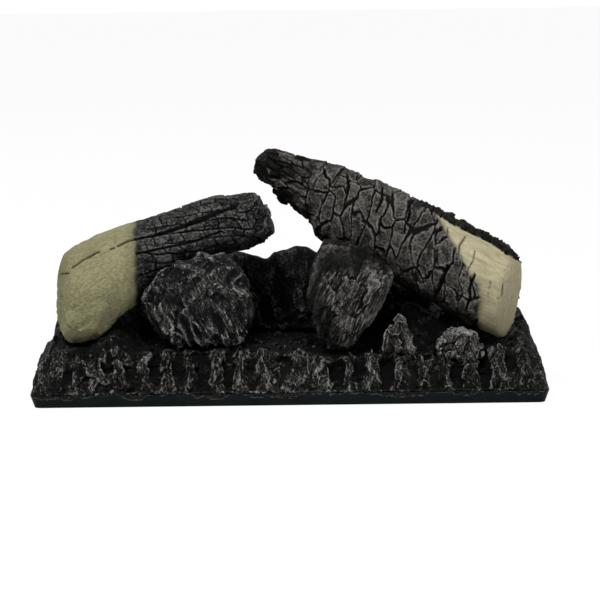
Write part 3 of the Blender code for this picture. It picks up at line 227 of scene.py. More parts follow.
PLACES = {
    "left_log": log_frame((-0.19770, -0.0300, 0.0909), 17.66, 10.57),
    "right_log": log_frame((-0.02202, 0.0480, 0.1897), -25.5, -18.4),
    "rear_log": log_frame((-0.12801, 0.0560, 0.08002), 0.0, 0.0),
    "left_support_log": log_frame((-0.07802, -0.0610, 0.0824), 5.0, 95.0),
    "right_support_log": log_frame((0.05259, -0.0610, 0.0796), 13.0, 86.0),
    "middle_ember": log_frame((0.09431, -0.0620, 0.0550), 0.0, 84.0),
    "right_ember": log_frame((0.14910, -0.0680, 0.0400), 0.0, 92.0),
}
SPINES = {
    "left_log": [(0.028, -0.005), (0.045, 0.002), (0.075, 0.008), (0.100, 0.010), (0.172, 0.008)],
    "right_log": [(0.010, 0.006), (0.050, 0.005), (0.110, 0.004), (0.225, 0.003)],
    "rear_log": [(0.012, -0.014), (0.050, -0.006), (0.180, -0.006), (0.224, -0.014)],
    "left_support_log": [(0.036, 0.000), (0.054, 0.000)],
    "right_support_log": [(0.038, 0.000), (0.060, 0.000)],
    "middle_ember": [(0.010, -0.004), (0.014, -0.004)],
    "right_ember": [(0.014, 0.007), (0.022, 0.007)],
}

# Seats of the upper logs: share of the log's length and height of the recess's flat in the log's own frame,
# and the piece below. A post of that piece enters the recess, and a loose peg goes into both
LOG_LENGTHS = {"left_log": 0.1945, "right_log": 0.2531}
SEATS = {
    "left_log": ((0.150, -0.0386, "ember_bed"), (0.620, -0.0083, "left_support_log")),
    "right_log": ((0.360, -0.0256, "right_support_log"), (0.880, -0.0312, "ember_bed")),
}
SEAT_RADIUS, RECESS_RADIUS, PEG_HOLE_RADIUS, PEG_HOLE_DEPTH = 0.0100, 0.0110, 0.0038, 0.0113
POST_LENGTH, RECESS_LENGTH = 0.024, 0.036
POST_TOP, POST_EDGE, POST_BEVEL = -0.0003, -0.0013, 0.0010
SEAT_MARGIN, SEAT_SIDES, POST_SIDES = 0.0006, 32, 40
FILL_ROWS, FILL_PASSES = 6, 40

# Gap between the carved bed and the short logs that sit in its nests
NEST_GAP = 0.0003


def seat_frames(node):
    """Origin and axes of every seat of a piece: under an upper log, and on top of what it stands on."""
    for log, seats in SEATS.items():
        corner, axes = PLACES[log]
        for share, flat, below in seats:
            if node in (log, below):
                yield corner + axes @ np.array([share * LOG_LENGTHS[log], 0, flat]), axes


def filled_seats(node, starts, direction, reach, wrap=True):
    """The reach of a skin, drawn smoothly across the recesses or posts of its seats."""
    points = starts + direction * reach[..., None]
    covered = np.zeros(reach.shape, bool)
    for origin, axes in seat_frames(node):
        local = (points - origin) @ axes
        radius = np.hypot(local[..., 0], local[..., 1])
        if node in SEATS:
            level = ((starts - origin) @ axes)[..., 2]
            covered |= (radius < RECESS_RADIUS + SEAT_MARGIN) & ((direction @ axes)[..., 2] < 0) & (level > 0)
        else:
            covered |= (radius < SEAT_RADIUS + SEAT_MARGIN) & (local[..., 2] > -POST_LENGTH)
    kept = (~covered).astype(float)
    total, weight = (blurred(field, FILL_ROWS, FILL_ROWS, wrap) for field in (reach * kept, kept))
    spread = total / (weight + 1e-4)
    drawn = np.where(covered, spread, reach)
    for _ in range(FILL_PASSES):
        drawn = np.where(covered, blurred(drawn, 2, 2, wrap), reach)
    return drawn


def solid_tree(mesh):
    return BVHTree.FromPolygons([v.co for v in mesh.vertices], [tuple(p.vertices) for p in mesh.polygons])


TREES = {node: solid_tree(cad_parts[node].data) for node in (*PLACES, "ember_bed")}
UPPER_LOGS = tuple(SEATS)
SHORT_LOGS = ("left_support_log", "right_support_log", "rear_log", "middle_ember", "right_ember")


def cast_skin(node, starts, directions, far=0.3):
    """Reach of a solid from points inside it, along directions: a grid of distances."""
    tree = TREES[node]
    reach = np.zeros(starts.shape[:-1])
    for place in np.ndindex(reach.shape):
        direction = Vector(directions[place])
        start = Vector(starts[place])
        hit = tree.ray_cast(start + direction * far, -direction)[0]
        reach[place] = (hit - start).length if hit else np.nan
    bad = np.isnan(reach)
    if bad.any():
        reach[bad] = np.nanmean(reach)
    return reach


def log_skin(node, step, soft):
    """A fine grid of points round a log, their outward normals, and their places along and round it.

    Rows are cast outwards from the spine, with a dome of rows over each of its ends, and then softened."""
    corner, axes = PLACES[node]
    spine = np.array(SPINES[node])
    lengths = np.concatenate([[0], np.cumsum(np.linalg.norm(np.diff(spine, axis=0), axis=1))])
    solid = np.array([v.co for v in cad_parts[node].data.vertices])
    local = (solid - corner) @ axes
    middle = local[(local[:, 0] > spine[0, 0]) & (local[:, 0] < spine[-1, 0])]
    radius = np.median(np.linalg.norm(middle[:, 1:], axis=1)) if len(middle) else 0.02
    columns = int(2 * math.pi * radius / step)
    dome = int((math.pi / 2) * radius / step)
    body = max(2, int(lengths[-1] / step))
    tilts = [-(math.pi / 2) * (1 - (row + 0.5) / dome) for row in range(dome)] + [0.0] * (body + 1)
    tilts = np.array(tilts + [(math.pi / 2) * (row + 0.5) / dome for row in range(dome)])
    alongs = [0.0] * dome + [lengths[-1] * row / body for row in range(body + 1)] + [lengths[-1]] * dome
    turns = 2 * math.pi * (np.arange(columns) + 0.5) / columns - math.pi / 2
    origin = beside(np.interp(alongs, lengths, spine[:, 0]), 0.0, np.interp(alongs, lengths, spine[:, 1]))
    radial = beside(0.0, np.cos(turns), np.sin(turns))
    direction = np.cos(tilts)[:, None, None] * radial[None]
    direction[..., 0] += np.sin(tilts)[:, None]
    starts = np.broadcast_to(origin[:, None], direction.shape)
    starts, direction = corner + starts @ axes.T, direction @ axes.T
    reach = filled_seats(node, starts, direction, cast_skin(node, starts, direction))
    reach = blurred(reach, soft / step, soft / step)
    points = starts + direction * reach[..., None]
    mean = blurred(reach, 4, 0).mean(1)
    along = np.concatenate([[0], np.cumsum(np.linalg.norm(np.diff(points, axis=0), axis=-1).mean(1))])
    around = (turns + math.pi / 2)[None] * mean[:, None]
    return points, normals(points), np.broadcast_to(along[:, None], reach.shape), around


def grid_faces(rows, columns, wrap=True):
    """Quads of a grid, facing out of a log whose columns turn from its back over its top."""
    faces = []
    last = columns if wrap else columns - 1
    for row in range(rows - 1):
        for column in range(last):
            after = (column + 1) % columns
            here = row * columns
            faces.append((here + column, here + columns + column, here + columns + after, here + after))
    return faces


def paint(mesh, fields):
    """Fields written on a mesh's points, each one value or a value per point."""
    for name, values in fields.items():
        layer = mesh.attributes.new(name, "FLOAT", "POINT")
        layer.data.foreach_set("value", np.full(len(mesh.vertices), values, np.float32))


def add_object(name, mesh):
    made = bpy.data.objects.new(name, mesh)
    bpy.context.scene.collection.objects.link(made)
    return made


def add_piece(name, points, faces, material=None, fields=None, sharp=None):
    """A smooth piece with its faces outwards; sharp is the angle past which an edge stays sharp."""
    mesh = bpy.data.meshes.new(name)
    mesh.from_pydata([tuple(point) for point in points], [], faces)
    work = bmesh.new()
    work.from_mesh(mesh)
    bmesh.ops.recalc_face_normals(work, faces=work.faces)
    work.to_mesh(mesh)
    work.free()
    mesh.update()
    mesh.shade_smooth()
    paint(mesh, fields or {})
    if sharp:
        mesh.set_sharp_from_angle(angle=math.radians(sharp))
    if material:
        mesh.materials.append(material)
    return add_object(name, mesh)


def plain_mesh(piece):
    """The mesh that a piece's modifiers make."""
    bpy.context.view_layer.update()
    depsgraph = bpy.context.evaluated_depsgraph_get()
    return bpy.data.meshes.new_from_object(piece.evaluated_get(depsgraph), depsgraph=depsgraph)


def closed_log(name, points, fields, material):
    """The piece from a carved grid, with a point over the middle of each end."""
    rows, columns = points.shape[:2]
    flat = points.reshape(-1, 3)
    ends = np.array([points[0].mean(0), points[-1].mean(0)])
    faces = grid_faces(rows, columns)
    count = rows * columns
    for column in range(columns):
        after = (column + 1) % columns
        faces.append((count, column, after))
        faces.append((count + 1, (rows - 1) * columns + after, (rows - 1) * columns + column))
    full = {key: np.concatenate([values.ravel(), [values[0].mean(), values[-1].mean()]])
            for key, values in fields.items()}
    return add_piece(name, np.concatenate([flat, ends]), faces, material, full)


def keep_clear(points, node, gap, margin=0.004, search=0.03):
    """Points pressed back to a gap off another solid, where they come too near to it."""
    tree = TREES[node]
    low, high = (np.array(corner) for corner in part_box(node))
    inside = ((points > low - margin) & (points < high + margin)).all(-1)
    for place in zip(*np.nonzero(inside)):
        at = Vector(points[place])
        near, normal, _, _ = tree.find_nearest(at, search)
        if near is None:
            continue
        if (at - near).dot(normal) < gap:
            points[place] = near + normal * gap
    return points


# Nodes: how they are added, and the shader groups that several finishes share

# Middle of a noise's or a cell's colour, taken off to make it a push either way
MIDDLE = (0.5, 0.5, 0.5)


def set_input(tree, socket, value):
    """A socket fed from another node's output, or set to a plain value."""
    if isinstance(value, bpy.types.NodeSocket):
        tree.links.new(value, socket)
    else:
        socket.default_value = value


def add_node(tree, kind, inputs=None, **settings):
    made = tree.nodes.new(kind)
    for key, value in settings.items():
        setattr(made, key, value)
    for key, value in (inputs or {}).items():
        set_input(tree, made.inputs[key], value)
    return made


def maths(tree, operation, *values, clamp=False):
    made = add_node(tree, "ShaderNodeMath", dict(enumerate(values)), operation=operation, use_clamp=clamp)
    return made.outputs[0]


def times(tree, first, second, clamp=False):
    return maths(tree, "MULTIPLY", first, second, clamp=clamp)


def plus(tree, first, second, clamp=False):
    return maths(tree, "ADD", first, second, clamp=clamp)


def minus(tree, first, second, clamp=False):
    return maths(tree, "SUBTRACT", first, second, clamp=clamp)


def vector_maths(tree, operation, first, second):
    key = "Scale" if operation == "SCALE" else 1
    made = add_node(tree, "ShaderNodeVectorMath", {0: first, key: second}, operation=operation)
    return made.outputs["Value" if operation == "DOT_PRODUCT" else "Vector"]


def ramp(tree, value, low, high, to_low=0.0, to_high=1.0):
    """From to_low at low to to_high at high, with soft ends."""
    inputs = {"Value": value, "From Min": low, "From Max": high, "To Min": to_low, "To Max": to_high}
    return add_node(tree, "ShaderNodeMapRange", inputs, interpolation_type="SMOOTHSTEP").outputs["Result"]


def mix_colour(tree, part, first, second):
    made = add_node(tree, "ShaderNodeMix", data_type="RGBA")
    for name, value in (("Factor", part), ("A", first), ("B", second)):
        socket = next(each for each in made.inputs if each.name == name and each.enabled)
        set_input(tree, socket, (*value, 1.0) if isinstance(value, tuple) else value)
    return next(each for each in made.outputs if each.enabled)


def noise_value(tree, place, scale, detail=3.0, roughness=0.55, distortion=0.0):
    inputs = {"Vector": place, "Scale": scale, "Detail": detail, "Roughness": roughness,
              "Distortion": distortion}
    return add_node(tree, "ShaderNodeTexNoise", inputs).outputs[0]


def stretched(tree, place, stretch):
    return add_node(tree, "ShaderNodeMapping", {"Vector": place, "Scale": stretch}).outputs[0]


def new_group(name, outputs, **inputs):
    """A shader group that reads a place and named numbers, each with its usual value, and gives numbers."""
    tree = bpy.data.node_groups.new(name, "ShaderNodeTree")
    face = tree.interface
    face.new_socket("Place", in_out="INPUT", socket_type="NodeSocketVector")
    for label, value in inputs.items():
        face.new_socket(label, in_out="INPUT", socket_type="NodeSocketFloat").default_value = value
    for label in outputs:
        face.new_socket(label, in_out="OUTPUT", socket_type="NodeSocketFloat")
    return tree, tree.nodes.new("NodeGroupInput").outputs, tree.nodes.new("NodeGroupOutput").inputs


def use_group(tree, group, **inputs):
    return add_node(tree, "ShaderNodeGroup", inputs, node_tree=group).outputs


def flaked_group():
    """Flakes of burnt wood, each leaning its own way: their raised edges, a tone for each and the height."""
    tree, given, out = new_group("flaked", ("Lines", "Tone", "Height"), Scale=90.0, Width=0.05)
    scale = given["Scale"]
    bend = add_node(tree, "ShaderNodeTexNoise", {
        "Vector": given["Place"], "Scale": times(tree, scale, 1.2), "Detail": 3.0, "Roughness": 0.65})
    pushed = vector_maths(tree, "SUBTRACT", bend.outputs["Color"], MIDDLE)
    pushed = vector_maths(tree, "SCALE", pushed, maths(tree, "DIVIDE", 1.5, scale))
    place = vector_maths(tree, "ADD", given["Place"], pushed)
    cells = add_node(tree, "ShaderNodeTexVoronoi", {"Vector": place, "Scale": scale})
    edges = add_node(tree, "ShaderNodeTexVoronoi", {"Vector": place, "Scale": scale},
                     feature="DISTANCE_TO_EDGE")
    arm = vector_maths(tree, "SUBTRACT", place, cells.outputs["Position"])
    way = vector_maths(tree, "SUBTRACT", cells.outputs["Color"], MIDDLE)
    lean = times(tree, vector_maths(tree, "DOT_PRODUCT", arm, way), scale)
    distance = edges.outputs["Distance"]
    line = minus(tree, 1.0, maths(tree, "DIVIDE", distance, given["Width"]), clamp=True)
    tree.links.new(times(tree, line, ramp(tree, lean, 0.0, 0.14)), out["Lines"])
    tree.links.new(plus(tree, times(tree, lean, 2.2), 0.5, clamp=True), out["Tone"])
    middle = times(tree, ramp(tree, distance, 0.0, 0.10), 0.30)
    tree.links.new(plus(tree, times(tree, lean, 1.3), middle), out["Height"])
    return tree


FLAKED = flaked_group()


def burnt_skin_group():
    """Burnt, dry-brushed surface: grey dust, less under soot and painted shade; where paint caught; and its
    height.
    """
    tree, given, out = new_group("burnt_skin", ("Dust", "Paint", "Height"), Wear=0.0, Body=0.5, Soot=0.0,
                                 Scale=80.0, Cover=0.0, Lines=1.0, Edges=1.0, Relief=1.0)
    place = given["Place"]
    large = use_group(tree, FLAKED, Place=place, Scale=given["Scale"], Width=0.048)
    small = use_group(tree, FLAKED, Place=place, Scale=times(tree, given["Scale"], 3.1), Width=0.10)
    patches = noise_value(tree, place, 75.0, 3.0, 0.6)
    fine = noise_value(tree, place, 560.0, 4.0, 0.75)
    grit = noise_value(tree, place, 1100.0, 2.0, 0.7)
    # The darkening input holds soot and also painted shade; both keep grey dust and paint off the surface
    undarkened = minus(tree, 1.0, given["Soot"], clamp=True)
    stands = times(tree, given["Body"], undarkened)

    grains = plus(tree, times(tree, fine, 0.75), times(tree, patches, 0.25))
    dust = ramp(tree, plus(tree, grains, given["Cover"]), 0.44, 0.62)
    shade = plus(tree, times(tree, large["Tone"], 0.65), times(tree, small["Tone"], 0.35))
    dust = times(tree, dust, plus(tree, times(tree, shade, 1.3), 0.10))
    held = plus(tree, times(tree, stands, 1.1), times(tree, undarkened, 0.20))
    tree.links.new(times(tree, dust, held, clamp=True), out["Dust"])

    drawn = maths(tree, "MAXIMUM", large["Lines"], times(tree, small["Lines"], 0.55))
    drawn = times(tree, drawn, times(tree, given["Lines"], times(tree, stands, 1.6)))
    drawn = times(tree, drawn, ramp(tree, patches, 0.40, 0.60, 0.05, 1.4))
    loose = times(tree, minus(tree, fine, 0.5), 2.4)
    edge = plus(tree, times(tree, given["Wear"], undarkened), loose)
    edge = times(tree, ramp(tree, edge, 0.62, 1.15), given["Edges"])
    caught = ramp(tree, grit, 0.38, 0.58, 0.20, 1.0)
    tree.links.new(times(tree, maths(tree, "MAXIMUM", drawn, edge), caught, clamp=True), out["Paint"])

    height = plus(tree, times(tree, large["Height"], 1.3), times(tree, small["Height"], 0.45))
    height = times(tree, height, given["Relief"])
    tree.links.new(plus(tree, height, times(tree, fine, 0.75)), out["Height"])
    return tree


def wood_grain_group():
    """Grain of split or sawn wood that runs along X of the place it is given."""
    tree, given, out = new_group("wood_grain", ("Grain", "Height"), Speckle=0.5)
    place, speckle = given["Place"], given["Speckle"]
    streaks = noise_value(tree, stretched(tree, place, (0.10, 1.0, 1.0)), 420.0, 4.0, 0.62, 0.4)
    flecks = noise_value(tree, stretched(tree, place, (0.38, 1.0, 1.0)), 760.0, 2.0, 0.6)
    patches = noise_value(tree, place, 38.0, 3.0, 0.55)
    woven = plus(tree, times(tree, streaks, minus(tree, 1.0, speckle)), times(tree, flecks, speckle))
    total = plus(tree, times(tree, woven, 0.75), times(tree, patches, 0.25))
    tree.links.new(ramp(tree, total, 0.36, 0.64), out["Grain"])
    tree.links.new(woven, out["Height"])
    return tree


BURNT_SKIN, WOOD_GRAIN = burnt_skin_group(), wood_grain_group()


def new_finish(name, roughness=0.6, metallic=0.0):
    """A material with its shader, and the place on the piece that its patterns read."""
    made = bpy.data.materials.new(name)
    made.use_nodes = True
    tree = made.node_tree
    shader = next(node for node in tree.nodes if node.type == "BSDF_PRINCIPLED")
    shader.inputs["Roughness"].default_value = roughness
    shader.inputs["Metallic"].default_value = metallic
    place = tree.nodes.new("ShaderNodeTexCoord").outputs["Object"]
    return made, tree, shader, place


def add_bump(tree, shader, height, distance, strength=1.0):
    bump = add_node(tree, "ShaderNodeBump", {"Height": height, "Distance": distance, "Strength": strength})
    tree.links.new(bump.outputs[0], shader.inputs["Normal"])


def field_value(tree, name):
    made = add_node(tree, "ShaderNodeAttribute", attribute_name=name, attribute_type="GEOMETRY")
    return made.outputs["Fac"]


def char_finish(name, tones, scale, stretch, turn_deg=(0, 0, 0), cover=0.0, lines=1.0, edges=1.0, relief=1.0,
                wood=None, speckle=0.5):
    """Burnt and dry-brushed resin: tones are its black, dust and paint, and wood those of an unburnt end.

    Its flakes have a scale, a stretch and a turn of their own. Cover, lines, edges and relief say how much
    dust lies on it, how much paint caught on flakes and on edges, and how high the flakes stand."""
    made, tree, shader, place = new_finish(name, 0.72)
    shader.inputs["Specular IOR Level"].default_value = 0.05
    black, grey, brush = tones
    turn = tuple(math.radians(each) for each in turn_deg)
    own = add_node(tree, "ShaderNodeMapping", {"Vector": place, "Rotation": turn}, vector_type="TEXTURE")
    own = own.outputs[0]
    skin = use_group(tree, BURNT_SKIN, Place=stretched(tree, own, stretch), Wear=field_value(tree, "wear"),
                     Body=field_value(tree, "body"), Soot=field_value(tree, "soot"), Scale=scale, Cover=cover,
                     Lines=lines, Edges=edges, Relief=relief)
    burnt = mix_colour(tree, skin["Dust"], black, grey)
    burnt = mix_colour(tree, skin["Paint"], burnt, brush)
    burnt = mix_colour(tree, field_value(tree, "crack"), burnt, (0.0022, 0.0022, 0.0022))
    height, colour = skin["Height"], burnt
    if wood:
        dark, light, scorch = wood
        grain = use_group(tree, WOOD_GRAIN, Place=own, Speckle=speckle)
        bare = mix_colour(tree, grain["Grain"], dark, light)
        bare = mix_colour(tree, field_value(tree, "scorch"), bare, scorch)
        bare = mix_colour(tree, field_value(tree, "crack"), bare, (0.008, 0.007, 0.005))
        char = field_value(tree, "char")
        colour = mix_colour(tree, char, bare, burnt)
        height = plus(tree, times(tree, height, char), times(tree, grain["Height"], minus(tree, 1.0, char)))
    tree.links.new(colour, shader.inputs["Base Color"])
    tree.links.new(ramp(tree, skin["Paint"], 0.0, 1.0, 0.78, 0.55), shader.inputs["Roughness"])
    add_bump(tree, shader, height, 1.0 * MM)
    return made


# Carving: what burnt wood is made of, and the carver of each log. A carver gives back its log's carved grid
# and the fields that its finish reads

def raised(points, out, height, most):
    """Points moved outwards by a height, which is held under a limit."""
    return points + out * np.minimum(height, most)[..., None]


def local_places(node, points):
    """Points in a log's own frame: along it, towards its back, upwards."""
    corner, axes = PLACES[node]
    return (points - corner) @ axes


def crack_shape(distance, width):
    return 1 - smooth_step(0.15 * width, width, distance)


def block_rows(along, around, row_width, block_length, seed):
    """Rows of burnt blocks along a log: distances to the long and the cross cracks, a number per block, and
    how strong the crack beside each row is."""
    sway = 0.30 * soft_noise(beside(along / 0.050, around / 0.030), seed)
    sway = sway + 0.10 * soft_noise(beside(along / 0.009, around / 0.012), seed + 1)
    rows = around / row_width + sway
    row = np.floor(rows)
    part = rows - row

    def chance(first, second, shift):
        return hashed(beside(first, second).astype(np.int64), seed + shift)

    length = block_length * (0.75 + 0.6 * chance(row, 5, 3))
    slant = 0.25 * soft_noise(beside(along / 0.02, around / 0.006), seed + 4)
    blocks = along / length + 7 * chance(row, 0, 2) + slant
    block = np.floor(blocks)

    def border(at):
        return at + 0.42 * (chance(row, at, 5) - 0.5)

    before, after = blocks - border(block), border(block + 1) - blocks
    name = np.where(before < 0, block - 1, np.where(after < 0, block + 1, block))
    cross = np.minimum(np.abs(before), np.abs(after)) * length
    nearest = np.where(np.abs(before) < np.abs(after), block, block + 1)
    cross = np.where(chance(row, nearest, 6) < 0.12, FAR, cross)
    near_row = np.where(part < 0.5, row, row + 1)
    strength = 0.55 + 0.45 * chance(near_row, 3, 8)
    return np.minimum(part, 1 - part) * row_width, cross, chance(row, name, 7), strength


# Edges that paint catches on: how wide they are, in rows of the skin, and how far they stand out
EDGE_ROWS, EDGE_HEIGHT, EMBER_EDGE_HEIGHT = 1.6, 0.00034, 0.00026


def edge_wear(carved, base, out, fine=EDGE_HEIGHT, wrap=True):
    """How sharply each place stands out of what was cut round it, and how far it stands out more widely."""
    lift = ((carved - base) * out).sum(-1)
    near = (lift - blurred(lift, EDGE_ROWS * 0.8, EDGE_ROWS * 0.8, wrap)) / fine
    wide = (lift - blurred(lift, EDGE_ROWS * 4, EDGE_ROWS * 4, wrap)) / (4 * fine)
    return 0.62 * np.clip(near, 0, 2), 0.5 + 0.5 * np.clip(wide, -1, 1)


def finished_fields(carved, base, out, char=1.0, crack=0.0, fine=EDGE_HEIGHT, **more):
    """Wear and body from how far the carved surface stands out, next to the painted fields."""
    wear, body = edge_wear(carved, base, out, fine=fine)
    flat = np.zeros(wear.shape)
    fields = {"wear": wear, "body": body, "char": char, "crack": crack, "scorch": 0.0, "soot": 0.0, **more}
    return {name: flat + values for name, values in fields.items()}


def warped(points, size, amount, seed):
    """Points pushed about by smooth noise of a given size, in metres."""
    return points + amount * noise_vector(points / size, seed)


def broken_end(points, size, seed):
    """Depth of breaks that leave splintered steps: 0 at their crests, 1 at their deepest."""
    _, number, slope = broken_cells(warped(points, size * 0.8, size * 0.35, seed) / size, seed + 3)
    splinters = warped(points, size * 0.3, size * 0.12, seed) / (size * 0.36)
    _, small_number, small_slope = broken_cells(splinters, seed + 4)
    return np.clip(0.62 * (1 - number) - 0.75 * slope + 0.22 * (1 - small_number) - 0.3 * small_slope, 0, 1.2)


# Lines through points of the photograph. On the left log: the long split along its front, whose wood end is
# broken into dashes, and two lesser splits below it
LEFT_SPLIT = ([(118, 246.5), (128, 241.5), (137, 239), (165, 232), (200, 219), (235, 205)],
              [(60, 274), (69, 273)], [(72.5, 267.5), (86, 258.5), (100, 252)], [(111, 249.5), (115, 248.4)])
LOWER_SPLITS = (([(137, 254), (165, 248), (190, 243), (222, 232)], 0.0016),
                ([(141, 276), (160, 270), (182, 264), (205, 262)], 0.0015))

# On the right log: the edge of the burnt part down its front, the lower edge of its bark, wide cracks with
# the half width of each, hairlines in the wood and a knot
BURNT_EDGE = ((430, 204), (437, 213), (450, 239), (461, 258), (469, 275), (478, 285), (480, 303), (477, 318),
              (480, 333), (484, 345))
BARK_EDGE = ((425, 206), (434, 210), (447, 220), (469, 231), (491, 242), (506, 253), (522, 261), (530, 266))
WIDE_CRACKS = ((((447.5, 266), (443.5, 275), (440.5, 284), (436.0, 295)), 0.0031),
               (((474, 274), (471, 281), (468.3, 289.9), (469.3, 298), (466.5, 305)), 0.0019),
               (((411, 204), (409.5, 215), (405, 224), (404, 232)), 0.0014),
               (((383, 186), (382.5, 198), (376, 212)), 0.0020),
               (((348, 172), (349, 184), (346, 196)), 0.0019),
               (((437, 250), (436, 262), (441, 270)), 0.0013))
HAIRLINES = (((448, 226), (447.5, 234)), ((466, 236), (459.5, 245), (458, 258)),
             ((474.6, 250), (472, 261), (467.5, 269), (466, 277)), ((490, 282), (486.6, 294.7)),
             ((503.3, 284.3), (502.6, 296.3)), ((497, 298), (499, 300)))
KNOT, KNOT_RADIUS = ((420, 271), (421, 278)), 0.0042


def carve_left_log():
    """Sawn wood at the butt, then rows of burnt blocks, and a broken end."""
    points, out, along, around = log_skin("left_log", step=0.95 * MM, soft=2.2 * MM)
    seen = front_view(points)
    across = points[..., 0]
    wobble = 0.0022 * layered_noise(beside(around / 0.012, along / 0.03), 3, 11)
    char = smooth_step(-0.1360, -0.1315, across + wobble)
    facing = smooth_step(0.1, -0.1, out[..., 1])

    long_crack, cross_crack, block, strength = block_rows(
        along, around, row_width=0.0086, block_length=0.0108, seed=31)
    width = 0.0011 * (1 + 0.45 * soft_noise(points / 0.012, 32))
    broken = 0.85 * crack_shape(cross_crack, 0.85 * width)
    broken = np.maximum(strength * crack_shape(long_crack, width), broken)
    rough_end = smooth_step(-0.036, -0.022, across + 0.006 * soft_noise(points / 0.012, 33))
    whole = 1 - rough_end
    grown = smooth_step(-0.132, -0.118, across)
    split_width = mixed(0.0012, 0.0034, char * smooth_step(-0.135, -0.08, across))
    split_width = split_width * (1 + 0.35 * soft_noise(points / 0.011, 34))
    split = crack_shape(line_distance(seen, *LEFT_SPLIT), split_width) * facing * whole
    lower = [crack_shape(line_distance(seen, line), size) for line, size in LOWER_SPLITS]
    lower = np.maximum(*lower) * facing * char * whole
    broken = broken * char * grown * whole
    height = -0.0024 * broken + char * grown * whole * 0.0017 * (block - 0.75)
    height -= np.maximum(split * mixed(0.0010, 0.0034, char), lower * 0.0024)
    fibres = ridged_noise(beside(along / 0.007, around / 0.0022), 3, 41) - 0.5
    height += char * whole * 0.0006 * fibres + char * 0.0003 * layered_noise(points / 0.0020, 2, 42)
    height -= char * rough_end * 0.0062 * broken_end(points, 0.017, 43)

    foot = smooth_step(0.104, 0.082, seen[..., 1]) * (1 - char)
    wood = 0.0010 * layered_noise(points / 0.022, 3, 21) - 0.0034 * foot * broken_end(points, 0.021, 46)
    wood = wood - 0.0008 * smooth_step(-0.168, -0.176, across) * broken_end(points, 0.012, 47)
    wood = wood + 0.00020 * ridged_noise(beside(along / 0.0035, around / 0.0015), 2, 44)
    height += (1 - char) * wood
    carved = raised(points, out, height, most=0.0008)
    crack = np.clip(np.maximum(0.75 * broken, np.maximum(split, 0.9 * lower)), 0, 1)
    # Painted shade: the burnt underside is darkened, as shade under the log.
    under = smooth_step(0.0, -0.75, out[..., 2] + 0.1 * soft_noise(points / 0.02, 48))
    return carved, finished_fields(carved, points, out, char, crack, soot=np.clip(0.75 * under * char, 0, 1),
                                   scorch=smooth_step(-0.146, -0.134, across) * 0.50)


